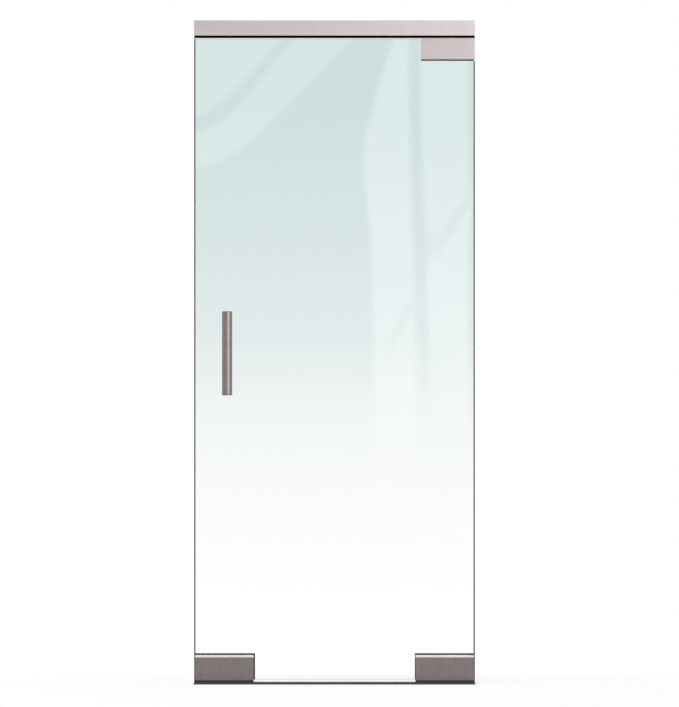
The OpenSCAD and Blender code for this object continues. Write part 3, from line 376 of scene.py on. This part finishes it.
brushFibre = {"colour": (0.004, 0.004, 0.0043), "metal": 0.0, "specular": 0.06, "speckle": 2600.0,
              "smudge": (55.0, 55.0, 20.0), "dustDepth": 0.03, "dust": (0.05, 0.048, 0.046),
              "wearWidth": 0.0002, "wearBreakup": 300.0, "wearDepth": 0.1, "bare": (0.03, 0.03, 0.03),
              "roughness": 0.72, "bump": 0.05, "depth": 0.0002}
finishes.update({
    "black_anodised": coatedSurface("blackSill", blackSill),
    "gasket": coatedSurface("sealRubber", sealRubber),
    "sweep": coatedSurface("sweepRubberPaintedLight", sweepRubberPaintedLight),
    "cast_iron": coatedSurface("castClosing", castClosing),
    "nylon": coatedSurface("whiteNylon", whiteNylon),
    "brush": coatedSurface("brushFibre", brushFibre),
})


# hot dipped sheet: flat zinc crystals of differing grey
def zincSheet(name, look):
    finish, tree, surface = newFinish(name, Metallic=look["metal"])
    where = addNode(tree, "ShaderNodeTexCoord")
    crystals = addNode(tree, "ShaderNodeTexVoronoi", {"Scale": look["crystals"]}, feature="F1")
    tree.links.new(where.outputs["Object"], crystals.inputs["Vector"])
    shade = addNode(tree, "ShaderNodeSeparateColor")
    tree.links.new(crystals.outputs["Color"], shade.inputs["Color"])
    wear = place(tree, edgeWear, Radius=look["wearWidth"])
    smudge = place(tree, handSmudge, Stretch=look["smudge"])
    facets = blendColours(tree, shade.outputs["Red"], scaled(look["colour"], look["darkest"]),
                          scaled(look["colour"], look["palest"]))
    stained = blendColours(tree, times(tree, smudge["Mask"], look["stainDepth"]), facets, look["stain"])
    worn = blendColours(tree, wear["Mask"], stained, scaled(look["colour"], look["rubbed"]))
    tree.links.new(worn, surface.inputs["Base Color"])
    gloss = mapTo(tree, shade.outputs["Green"], 0.0, 1.0, *look["roughness"])
    tree.links.new(gloss, surface.inputs["Roughness"])
    tree.links.new(bumped(tree, shade.outputs["Blue"], look["bump"], look["depth"]), surface.inputs["Normal"])
    return finish


closerSheet = {"colour": (0.36, 0.37, 0.38), "metal": 0.9, "crystals": 70.0, "darkest": 0.72, "palest": 1.3,
               "stain": (0.28, 0.27, 0.25), "stainDepth": 0.3, "smudge": (16.0, 16.0, 16.0),
               "wearWidth": 0.001, "rubbed": 1.6, "roughness": (0.34, 0.56), "bump": 0.08, "depth": 0.0003}
finishes["galvanised"] = zincSheet("closerSheet", closerSheet)


# toughened pane: faint roller waves and wiping haze, lamps shine through it
def clearPane(name, look):
    finish, tree, surface = newFinish(name, Base_Color=look["tint"], Metallic=0.0, Transmission_Weight=1.0,
                                      IOR=look["index"])
    wave = stretchedNoise(tree, look["waves"], scale=1.0, detail=1.0, roughness=look["waveRoughness"])
    smudge = place(tree, handSmudge, Stretch=look["smudge"])
    haze = mapTo(tree, smudge["Mask"], look["hazeFrom"], 1.0, look["clearest"], look["haziest"])
    tree.links.new(haze, surface.inputs["Roughness"])
    tree.links.new(bumped(tree, wave, look["waveBump"], look["waveDepth"]), surface.inputs["Normal"])
    through = addNode(tree, "ShaderNodeBsdfTransparent", {"Color": (*look["shadowTint"], 1.0)})
    path = addNode(tree, "ShaderNodeLightPath")
    either = blendShaders(tree, path.outputs["Is Shadow Ray"], surface.outputs["BSDF"],
                          through.outputs["BSDF"])
    tree.links.new(either, tree.nodes["Material Output"].inputs["Surface"])
    return finish


# ground edge of the pane: matt, and deep green as the light runs along the glass
def groundEdge(name, look):
    finish, tree, surface = newFinish(name, Metallic=0.0, Transmission_Weight=look["clear"],
                                      IOR=look["index"])
    speckle = place(tree, fineSpeckle, Scale=look["speckle"])
    lines = place(tree, brushedGrain, Stretch=look["grain"])
    tone = blendColours(tree, speckle["Tone"], look["deep"], look["pale"])
    lined = blendColours(tree, times(tree, lines["Tone"], look["lineDepth"]), tone, look["pale"])
    tree.links.new(lined, surface.inputs["Base Color"])
    tree.links.new(mapTo(tree, lines["Tone"], 0.0, 1.0, *look["roughness"]), surface.inputs["Roughness"])
    tree.links.new(bumped(tree, speckle["Height"], look["bump"], look["depth"]), surface.inputs["Normal"])
    return finish


paneLook = {"tint": (0.88, 0.94, 0.93), "shadowTint": (0.9, 0.95, 0.94), "index": 1.5,
            "waves": (0.6, 1.0, 4.0), "waveRoughness": 0.4, "waveBump": 0.02, "waveDepth": 0.002,
            "smudge": (2.2, 2.2, 2.6), "hazeFrom": 0.45, "clearest": 0.0, "haziest": 0.03}
edgeLook = {"deep": (0.3, 0.47, 0.43), "pale": (0.6, 0.75, 0.71), "index": 1.5, "clear": 0.35,
            "speckle": 2200.0, "grain": (40.0, 900.0, 40.0), "lineDepth": 0.3, "roughness": (0.36, 0.54),
            "bump": 0.15, "depth": 0.0002}
finishes["glass"] = clearPane("clearPane", paneLook)
groundGlass = groundEdge("groundEdge", edgeLook)
print("finishes made:", len(finishes) + 1)

# each node takes the finish of its slot, but the pulls have a steel of their own, and the top patch a darker
# copy of the header steel: painted shade
topCovers = ["top_front_cover", "top_rear_cover"]
lowerCovers = ["bottom_front_cover", "bottom_rear_cover", "lock_front_cover", "lock_rear_cover"]
pullMark = "_pull_"  # in the names of both pulls' pieces
for piece in frame["record"]["subparts"]:
    name, kind = piece["node"], piece["material_slot"]
    if pullMark in name:
        kind = "pull"
    elif name in topCovers:
        kind = "topPatch"
    nodes[name].data.materials.clear()
    nodes[name].data.materials.append(finishes[kind])

# faces are told apart by the share of their normal that points one way, and the sweeps by their height
faceSet = {"flat": 0.9, "slope": 0.5, "bevel": 0.6, "sweepRoom": 0.0005}
pane = nodes["glass_panel"].data
pane.materials.append(groundGlass)
for polygon in pane.polygons:  # the two faces are polished, and the slopes along the foot
    facing = abs(polygon.normal.y)
    atFoot = facing > faceSet["slope"] and polygon.normal.z < -faceSet["slope"]
    polygon.material_index = 0 if facing > faceSet["flat"] or atFoot else 1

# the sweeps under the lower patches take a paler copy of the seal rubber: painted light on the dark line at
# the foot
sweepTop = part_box("bottom_front_cover")[0].z + faceSet["sweepRoom"]
seals = nodes["edge_seals"].data
seals.materials.append(finishes["sweep"])
for polygon in seals.polygons:
    polygon.material_index = 1 if polygon.center.z < sweepTop else 0

# the upper bevels of the lower patches take a near-white steel: a painted highlight
for name in lowerCovers:
    cover = nodes[name].data
    cover.materials.append(finishes["paintedBevelHighlight"])
    for polygon in cover.polygons:
        if abs(polygon.normal.y) > faceSet["bevel"] and polygon.normal.z > faceSet["bevel"]:
            polygon.material_index = 1
print("finishes set on", len(nodes), "nodes")

# small rounded edges on folded, milled and turned metal, so that they catch the light
headerSkin = ["header_front_cladding", "header_rear_cladding", "header_left_cap", "header_right_cap"]
softEdges = {"merge": 0.00001, "segments": 2, "angle": 35.0,
             "folded": {"width": 0.0004, "pieces": headerSkin + topCovers + lowerCovers},
             "milled": {"width": 0.0006, "pieces": ["threshold"]},
             "turned": {"width": 0.0009, "pieces": ["front_pull_caps", "rear_pull_caps"]}}
for kind in ("folded", "milled", "turned"):
    for name in softEdges[kind]["pieces"]:
        modifiers = nodes[name].modifiers
        joined = modifiers.new("joined", "WELD")
        joined.merge_threshold = softEdges["merge"]
        eased = modifiers.new("eased", "BEVEL")
        eased.width = softEdges[kind]["width"]
        eased.segments = softEdges["segments"]
        eased.limit_method = "ANGLE"
        eased.angle_limit = math.radians(softEdges["angle"])
        evened = modifiers.new("evened", "WEIGHTED_NORMAL")
        evened.keep_sharp = False
print("edges eased")

# brush seals: a backing strip, a middle fin and rows of leaning fibres
brushSeal = {"pileWidth": 0.004, "backingHeight": 0.0026, "backingEase": 0.16, "finWidth": 0.0003,
             "fibrePitch": 0.00055, "pitchJitter": 0.3, "rows": 6, "rootWidth": 0.00026, "tipWidth": 0.00014,
             "fibreSides": 3, "twist": 2.1, "lean": 0.0005, "leanAcross": 0.6, "uneven": 0.0005,
             "longer": 0.0009, "spreadFrom": 0.004, "spread": 0.0019, "kneeDrop": 0.0004}


def held(value, low, high):
    return min(max(value, low), high)


def makeBrushSeal(name, nodeName, seed):
    look = brushSeal
    chance = random.Random(seed)
    low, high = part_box(nodeName)
    middle = (low.y + high.y) / 2
    half = (high.y - low.y) / 2
    root = high.z - look["backingHeight"]
    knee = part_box("header_left_cap")[0].z - look["kneeDrop"]  # below the caps the end fibres spread outwards
    points, faces = [], []

    def addBar(outline):  # one section drawn along the seal, closed at its ends
        first, count = len(points), len(outline)
        for x in (low.x, high.x):
            points.extend((x, y, z) for y, z in outline)
        for i in range(count):
            j = (i + 1) % count
            faces.append((first + i, first + j, first + count + j, first + count + i))
        faces.append(tuple(range(first + count - 1, first - 1, -1)))
        faces.append(tuple(range(first + count, first + 2 * count)))

    def addFibre(rings, turn):  # a hair through its rings, closed at the tip
        first, sides = len(points), look["fibreSides"]
        for x, y, z, width in rings:
            for side in range(sides):
                angle = turn + side * 2 * math.pi / sides
                points.append((x + math.cos(angle) * width, y + math.sin(angle) * width, z))
        last = len(points) - sides
        for base in range(first, last, sides):
            for side in range(sides):
                after = (side + 1) % sides
                faces.append((base + side, base + sides + side, base + sides + after, base + after))
        faces.append(tuple(range(last + sides - 1, last - 1, -1)))

    ease = half * look["backingEase"]
    addBar([(middle - half + ease, root), (middle + half - ease, root), (middle + half, root + ease),
            (middle + half, high.z - ease), (middle + half - ease, high.z), (middle - half + ease, high.z),
            (middle - half, high.z - ease), (middle - half, root + ease)])
    fin = look["finWidth"] / 2
    addBar([(middle - fin, low.z), (middle + fin, low.z),
            (middle + fin, root + ease), (middle - fin, root + ease)])
    edge = look["pileWidth"] / 2 - look["rootWidth"]
    firstX, lastX = low.x + look["rootWidth"], high.x - look["rootWidth"]
    along = int((high.x - low.x) / look["fibrePitch"])
    for row in range(look["rows"]):
        rowY = middle - edge + 2 * edge * row / (look["rows"] - 1)
        for step in range(along):
            jitter = chance.uniform(-look["pitchJitter"], look["pitchJitter"])
            x = low.x + look["fibrePitch"] * (step + 0.5 + jitter)
            leanX = chance.uniform(-1, 1) * look["lean"]
            leanY = chance.uniform(-1, 1) * look["lean"] * look["leanAcross"]
            endX, rootX = held(x + leanX, firstX, lastX), held(x, firstX, lastX)
            endY = held(rowY + leanY, middle - edge, middle + edge)
            endZ = low.z - look["longer"] + chance.random() ** 2 * look["uneven"]
            rings = [(rootX, rowY, root + ease / 2, look["rootWidth"]), (endX, endY, endZ, look["tipWidth"])]
            nearEnd = 1 - min(rootX - low.x, high.x - rootX) / look["spreadFrom"]
            if nearEnd > 0:
                outward = math.copysign(nearEnd * look["spread"], rootX)
                rings = [rings[0], (rootX, rowY, knee, look["tipWidth"]),
                         (endX + outward, endY, endZ, look["tipWidth"])]
            addFibre(rings, chance.uniform(0, look["twist"]))
    mesh = bpy.data.meshes.new(name)
    mesh.from_pydata(points, [], faces)
    mesh.validate()
    mesh.materials.append(finishes["brush"])
    seal = bpy.data.objects.new(name, mesh)
    scene.collection.objects.link(seal)
    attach(seal, "frame")
    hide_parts(nodeName)


makeBrushSeal("front_brush_pile", "front_brush_seal", 11)
makeBrushSeal("rear_brush_pile", "rear_brush_seal", 12)
print("brush seals made")

# long lens, square on to the door
cameraSet = {"distance": 40.0, "across": 0.0162, "height": 1.0744, "viewHeight": 2.2984, "sensor": 36.0,
             "farthest": 200.0}
eye = bpy.data.cameras.new("eye")
eye.sensor_width = cameraSet["sensor"]
eye.lens = cameraSet["sensor"] * cameraSet["distance"] / cameraSet["viewHeight"]
eye.clip_end = cameraSet["farthest"]
camera = bpy.data.objects.new("eye", eye)
camera.location = (cameraSet["across"], -cameraSet["distance"], cameraSet["height"])
camera.rotation_euler = (math.radians(90), 0.0, 0.0)
scene.collection.objects.link(camera)
scene.camera = camera
print("camera set, lens", round(eye.lens, 1))

# white studio: what lamps miss, what is mirrored from left to right, and what shows behind the glass
studioLook = {"fill": (0.8, 0.8, 0.81), "span": 0.026, "plainFrom": -0.05, "plainTo": -0.14,
              "mirrored": [(0.0, (1.14, 1.13, 1.12)), (0.07, (0.78, 0.775, 0.77)), (0.3, (0.9, 0.895, 0.89)),
                           (0.5, (0.92, 0.915, 0.91)), (0.85, (0.9, 0.9, 0.9)), (1.0, (0.8, 0.8, 0.8))],
              "behindGlass": [(0.08, (1.15, 1.075, 1.088)), (0.32, (1.068, 1.022, 1.032)),
                              (0.43, (0.99, 0.968, 0.984)), (0.52, (0.885, 0.905, 0.918)),
                              (0.6, (0.842, 0.882, 0.893)), (0.75, (0.785, 0.845, 0.855)),
                              (0.89, (0.735, 0.811, 0.817))]}
world = bpy.data.worlds.new("studio")
scene.world = world
world.use_nodes = True
air = world.node_tree
air.nodes.clear()
direction = addNode(air, "ShaderNodeTexCoord")
heading = addNode(air, "ShaderNodeSeparateXYZ")
air.links.new(direction.outputs["Generated"], heading.inputs[0])


def acrossAir(axis, reach, stops):  # a ramp from one end of an axis to the other
    spread = addNode(air, "ShaderNodeMapRange", {"From Min": -reach, "From Max": reach})
    air.links.new(heading.outputs[axis], spread.inputs["Value"])
    return colourRamp(air, spread.outputs["Result"], stops)


def backdrop(colour):
    made = addNode(air, "ShaderNodeBackground")
    feed(air, made.inputs["Color"], colour)
    return made.outputs["Background"]


plain = mapTo(air, heading.outputs["Z"], studioLook["plainFrom"], studioLook["plainTo"])  # seen from above
behind = blendColours(air, plain, acrossAir("Z", studioLook["span"], studioLook["behindGlass"]), white)
mirrored = acrossAir("X", 1.0, studioLook["mirrored"])
airRays = addNode(air, "ShaderNodeLightPath")
shown = backdrop(studioLook["fill"])
rayColours = {"Is Glossy Ray": mirrored, "Is Transmission Ray": behind, "Is Camera Ray": white}
for rayKind, colour in rayColours.items():
    shown = blendShaders(air, airRays.outputs[rayKind], shown, backdrop(colour))
air.links.new(shown, addNode(air, "ShaderNodeOutputWorld").inputs["Surface"])

# pale floor disc that keeps the shadow: a patch round the door and one towards the camera melt into the white
floorLook = {"radius": 3.4, "sides": 96, "level": -0.0002, "colour": (0.9, 0.9, 0.9), "fleck": 0.985,
             "speckle": 60.0, "glow": 0.68, "throughGlass": (1.08, 1.03, 1.035),
             "patches": [{"middle": (0.15, 0.0, 0.0), "stretch": (1.0, 1.0, 1.0), "fade": (0.75, 1.6)},
                         {"middle": (0.3, -1.15, 0.0), "stretch": (1.1, 0.667, 1.0), "fade": (1.0, 1.36)}]}


def paleFloor(name, look):
    finish, tree, out = emptyFinish(name)
    matt = addNode(tree, "ShaderNodeBsdfDiffuse")
    speckle = place(tree, fineSpeckle, Scale=look["speckle"])
    flecked = blendColours(tree, speckle["Tone"], scaled(look["colour"], look["fleck"]), look["colour"])
    tree.links.new(flecked, matt.inputs["Color"])
    rays = addNode(tree, "ShaderNodeLightPath")
    direct = combine(tree, "MAXIMUM", rays.outputs["Is Camera Ray"], rays.outputs["Is Glossy Ray"])
    seen = combine(tree, "MAXIMUM", direct, rays.outputs["Is Transmission Ray"])
    glow = addNode(tree, "ShaderNodeEmission", {"Strength": 1.0})
    glowColour = blendColours(tree, rays.outputs["Is Transmission Ray"], white, look["throughGlass"])
    tree.links.new(glowColour, glow.inputs["Color"])
    lit = blendShaders(tree, times(tree, seen, look["glow"]), matt.outputs["BSDF"], glow.outputs["Emission"])
    where = addNode(tree, "ShaderNodeTexCoord")
    fades = []
    for patch in look["patches"]:
        moved = addNode(tree, "ShaderNodeVectorMath", {1: patch["middle"]}, operation="SUBTRACT")
        pulled = addNode(tree, "ShaderNodeVectorMath", {1: patch["stretch"]}, operation="MULTIPLY")
        reach = addNode(tree, "ShaderNodeVectorMath", operation="LENGTH")
        tree.links.new(where.outputs["Object"], moved.inputs[0])
        tree.links.new(moved.outputs[0], pulled.inputs[0])
        tree.links.new(pulled.outputs[0], reach.inputs[0])
        fades.append(mapTo(tree, reach.outputs["Value"], *patch["fade"]))
    gone = addNode(tree, "ShaderNodeBsdfTransparent")
    tree.links.new(blendShaders(tree, combine(tree, "MINIMUM", *fades), lit, gone.outputs["BSDF"]), out)
    return finish


corners = [step * 2 * math.pi / floorLook["sides"] for step in range(floorLook["sides"])]
rim = [(floorLook["radius"] * math.cos(turn), floorLook["radius"] * math.sin(turn), floorLook["level"])
       for turn in corners]
disc = bpy.data.meshes.new("floorDisc")
disc.from_pydata(rim, [], [tuple(range(len(rim)))])
disc.materials.append(paleFloor("paleFloor", floorLook))
floor = bpy.data.objects.new("floorDisc", disc)
scene.collection.objects.link(floor)
print("studio and floor made")

# soft lamps: most stay out of reflections, and one lights the pulls alone
lamps = {
    "overheadSoftbox": {"spot": (0.0, -0.6, 3.6), "aim": (0.0, 0.0, 0.0), "size": (2.4, 1.6), "watts": 20.0},
    "rightSoftbox": {"spot": (5.45, -6.9, 2.9), "aim": (-0.35, 0.0, 1.1), "size": (6.0, 1.2), "watts": 146.0,
                     "mirrored": True},
    "pullSoftbox": {"spot": (2.4, -4.3, 1.1), "aim": (-0.35, 0.0, 1.08), "size": (3.9, 2.0), "watts": 50.0,
                    "mirrored": True, "only": pullMark},
    "leftFill": {"spot": (-3.0, -3.0, 2.5), "aim": (0.0, 0.0, 1.0), "size": (2.0, 2.0), "watts": 24.0},
    "rearFill": {"spot": (0.8, 4.0, 3.0), "aim": (0.0, 0.0, 1.0), "size": (2.0, 1.4), "watts": 18.0},
}
for name, look in lamps.items():
    lamp = bpy.data.lights.new(name, "AREA")
    lamp.shape = "RECTANGLE"
    lamp.size, lamp.size_y = look["size"]
    lamp.energy = look["watts"]
    holder = bpy.data.objects.new(name, lamp)
    holder.location = look["spot"]
    holder.rotation_mode = "QUATERNION"
    holder.rotation_quaternion = (Vector(look["aim"]) - Vector(look["spot"])).to_track_quat("-Z", "Y")
    holder.visible_glossy = look.get("mirrored", False)
    holder.visible_transmission = False
    scene.collection.objects.link(holder)
    if "only" in look:
        receivers = bpy.data.collections.new(name)
        for nodeName, node in nodes.items():
            if look["only"] in nodeName:
                receivers.objects.link(node)
        holder.light_linking.receiver_collection = receivers
print("lamps set:", len(lamps))

# cards that only reflections see, drawn where they show on the pane, in metres
cardSet = {"distance": 4.0, "layer": 0.03, "steps": 6, "tint": (1.0, 0.9, 0.91), "dim": 0.15, "bright": 1.66}
sideSet = {"distance": 7.0, "elevation": 15.0, "reach": 1.1, "turns": (20.0, 35.0, 50.0), "fade": 0.2,
           "bands": {"Wall": {"low": 0.75, "high": 3.0, "light": 0.1, "soft": 0.3, "layer": 0},
                     "Pane": {"low": 2.3, "high": 2.72, "light": 2.0, "soft": 0.03, "layer": 1},
                     "Band": {"low": 1.7, "high": 2.06, "light": 2.0, "soft": 0.04, "layer": 1},
                     "Streak": {"low": 1.2, "high": 1.36, "light": 1.8, "soft": 0.03, "layer": 1}}}


def smoothLine(line):  # a rounded line through the given points
    ends = [line[0]] + list(line) + [line[-1]]
    made = []
    for a, b, c, d in zip(ends, ends[1:], ends[2:], ends[3:]):
        for step in range(cardSet["steps"]):
            t = step / cardSet["steps"]
            made.append(tuple(0.5 * (2 * q + (r - p) * t + (2 * p - 5 * q + 4 * r - s) * t * t
                                     + (3 * q - p - 3 * r + s) * t ** 3) for p, q, r, s in zip(a, b, c, d)))
    return made + [tuple(line[-1])]


def upright(x, levels):  # a plumb line through the given heights
    return [(x, z) for z in levels]


def ahead(layer, away=cardSet["distance"]):  # where the camera's own view of the pane meets a card
    away -= layer * cardSet["layer"]
    grow = away / cameraSet["distance"]
    return lambda x, z: (x + (x - cameraSet["across"]) * grow, -away, z + (z - cameraSet["height"]) * grow)


def aslant(layer, azimuth):  # the same for a view from the side, in degrees as the camera is turned
    turn, rise = math.radians(azimuth), math.radians(sideSet["elevation"])
    way = Vector((-math.sin(turn) * math.cos(rise), -math.cos(turn) * math.cos(rise), -math.sin(rise)))
    way *= (sideSet["distance"] - layer * cardSet["layer"]) / abs(way.y)
    return lambda x, z: (x + way.x, way.y, z + way.z)


def cardPaper(name, light, tint):  # glows where the card is full and clears towards its soft edges
    finish, tree, out = emptyFinish(name)
    shine = addNode(tree, "ShaderNodeEmission", {"Color": (*tint, 1.0), "Strength": light})
    clear = addNode(tree, "ShaderNodeBsdfTransparent")
    depth = addNode(tree, "ShaderNodeAttribute", attribute_name="soft")
    eased = mapTo(tree, depth.outputs["Fac"], 0.0, 1.0)
    tree.links.new(blendShaders(tree, eased, clear.outputs["BSDF"], shine.outputs["Emission"]), out)
    return finish


def reflectionCard(name, edges, light, soft, onto, head=0.0, tail=0.0, tint=cardSet["tint"]):
    lines = list(zip(smoothLine(edges[0]), smoothLine(edges[1])))
    points, strengths, faces = [], [], []
    for i, (first, second) in enumerate(lines):
        first, second = Vector(first), Vector(second)
        across = second - first
        across = across.normalized() if across.length > 0 else Vector((1.0, 0.0))
        row = [first - across * soft[0], first + across * soft[0],
               second - across * soft[1], second + across * soft[1]]
        done = i / (len(lines) - 1)
        strong = min(done / head, 1.0) if head else 1.0  # shares of the length that fade in and out
        strong *= min((1 - done) / tail, 1.0) if tail else 1.0
        points.extend(onto(*spot) for spot in row)
        strengths.extend((0.0, strong, strong, 0.0))
        if i:
            base, before = len(row) * i, len(row) * (i - 1)
            faces.extend((before + k, before + k + 1, base + k + 1, base + k) for k in range(len(row) - 1))
    mesh = bpy.data.meshes.new(name)
    mesh.from_pydata(points, [], faces)
    mesh.attributes.new("soft", "FLOAT", "POINT").data.foreach_set("value", strengths)
    mesh.materials.append(cardPaper(name, light, tint))
    card = bpy.data.objects.new(name, mesh)
    card.visible_camera = False
    card.visible_diffuse = False
    card.visible_transmission = False
    card.visible_shadow = False
    scene.collection.objects.link(card)


wallLevels = (2.18, 1.4, 0.6)
cornerLevels = (2.2, 2.1, 2.0, 1.92, 1.86)
wedgeLevels = (2.13, 1.973, 1.774, 1.66, 1.53, 1.4, 0.95, 0.6)
sideLevels = (2.13, 1.9, 1.7, 1.5, 1.31, 0.8)
streakHigh = [(-0.148, 2.13), (-0.263, 1.995), (-0.368, 1.892), (-0.418, 1.858), (-0.5, 1.832)]
bandHigh = [(-0.106, 2.13), (-0.166, 2.055), (-0.242, 1.962), (-0.335, 1.858), (-0.4, 1.812), (-0.5, 1.785)]
bandLow = [(0.085, 2.13), (-0.0348, 2.004), (-0.159, 1.879), (-0.2337, 1.799), (-0.327, 1.724), (-0.5, 1.655)]
wedgeLeft = list(zip((0.205, 0.152, 0.1, 0.096, 0.108, 0.122, 0.128, 0.13), wedgeLevels))
wedgeRight = list(zip((0.242, 0.242, 0.245, 0.249, 0.253, 0.256, 0.27, 0.275), wedgeLevels))
sideLeft = list(zip((0.2795, 0.28, 0.286, 0.292, 0.3, 0.306), sideLevels))
sideRight = upright(0.434, sideLevels)
rimRight = upright(0.47, sideLevels)
lowLeft = [(0.44, 1.61), (0.37, 1.47), (0.304, 1.357), (0.304, 1.2), (0.308, 1.0), (0.31, 0.72)]
lowRight = [(0.45, 1.60), (0.434, 1.45), (0.434, 1.3), (0.434, 1.15), (0.434, 0.95), (0.434, 0.72)]
slantLeft = [(0.48, 1.676), (0.411, 1.564), (0.35, 1.465), (0.29, 1.368)]
slantRight = [(0.504, 1.662), (0.435, 1.549), (0.374, 1.45), (0.314, 1.353)]
slimLeft = [(0.238, 1.245), (0.198, 1.156), (0.17, 1.09), (0.15, 1.04)]
slimRight = [(0.258, 1.236), (0.218, 1.147), (0.19, 1.081), (0.17, 1.031)]
dim, bright = cardSet["dim"], cardSet["bright"]
paneCards = {
    "dimWall": {"edges": (upright(-0.62, wallLevels), upright(0.62, wallLevels)), "light": dim,
                "soft": (0.03, 0.03), "layer": 0, "tail": 0.7},
    "cornerPane": {"edges": (upright(-0.5, cornerLevels), streakHigh), "light": bright,
                   "soft": (0.02, 0.012), "layer": 1, "tail": 0.0},
    "bandPane": {"edges": (bandHigh, bandLow), "light": bright,
                 "soft": (0.012, 0.014), "layer": 2, "tail": 0.0},
    "wedgePane": {"edges": (wedgeLeft, wedgeRight), "light": bright * 1.45,
                  "soft": (0.014, 0.016), "layer": 1, "tail": 0.22},
    "sidePane": {"edges": (sideLeft, sideRight), "light": bright * 1.35,
                 "soft": (0.016, 0.008), "layer": 2, "tail": 0.5},
    "rimPane": {"edges": (sideRight, rimRight), "light": 0.7,
                "soft": (0.008, 0.01), "layer": 1, "tail": 0.5},
    "lowPane": {"edges": (lowLeft, lowRight), "light": bright * 1.55,
                "soft": (0.014, 0.008), "layer": 3, "tail": 0.42},
    "slantShade": {"edges": (slantLeft, slantRight), "light": 1.1,
                   "soft": (0.016, 0.016), "layer": 4, "tail": 0.3},
    "slimShade": {"edges": (slimLeft, slimRight), "light": 1.35,
                  "soft": (0.012, 0.012), "layer": 3, "tail": 0.5},
}
for name, look in paneCards.items():
    reflectionCard(name, look["edges"], look["light"], look["soft"], ahead(look["layer"]), tail=look["tail"])

# a dark flag above the pane's reflection shades the left of the header
headFlag = {"left": -2.2, "right": 0.25, "levels": (2.9, 2.5, 2.15), "light": 0.38, "soft": (0.1, 0.6),
            "away": 1.5}
flagEdges = [upright(headFlag[end], headFlag["levels"]) for end in ("left", "right")]
reflectionCard("headFlag", flagEdges, headFlag["light"], headFlag["soft"], ahead(0, headFlag["away"]),
               tint=white)

# slanting window light for the views from the sides and the back
sideEnds = (-sideSet["reach"], 0.0, sideSet["reach"])
for turn in sideSet["turns"]:
    for azimuth, lean in ((turn, 1.0), (-turn, -1.0), (180.0 - turn, 1.0), (180.0 + turn, -1.0)):
        for label, look in sideSet["bands"].items():
            bandEdges = [[(x, look[end] + x * lean) for x in sideEnds] for end in ("low", "high")]
            reflectionCard(f"side{label}{azimuth:.0f}", bandEdges, look["light"], [look["soft"]] * 2,
                           aslant(look["layer"], azimuth), sideSet["fade"], sideSet["fade"], white)
print("reflection cards made")
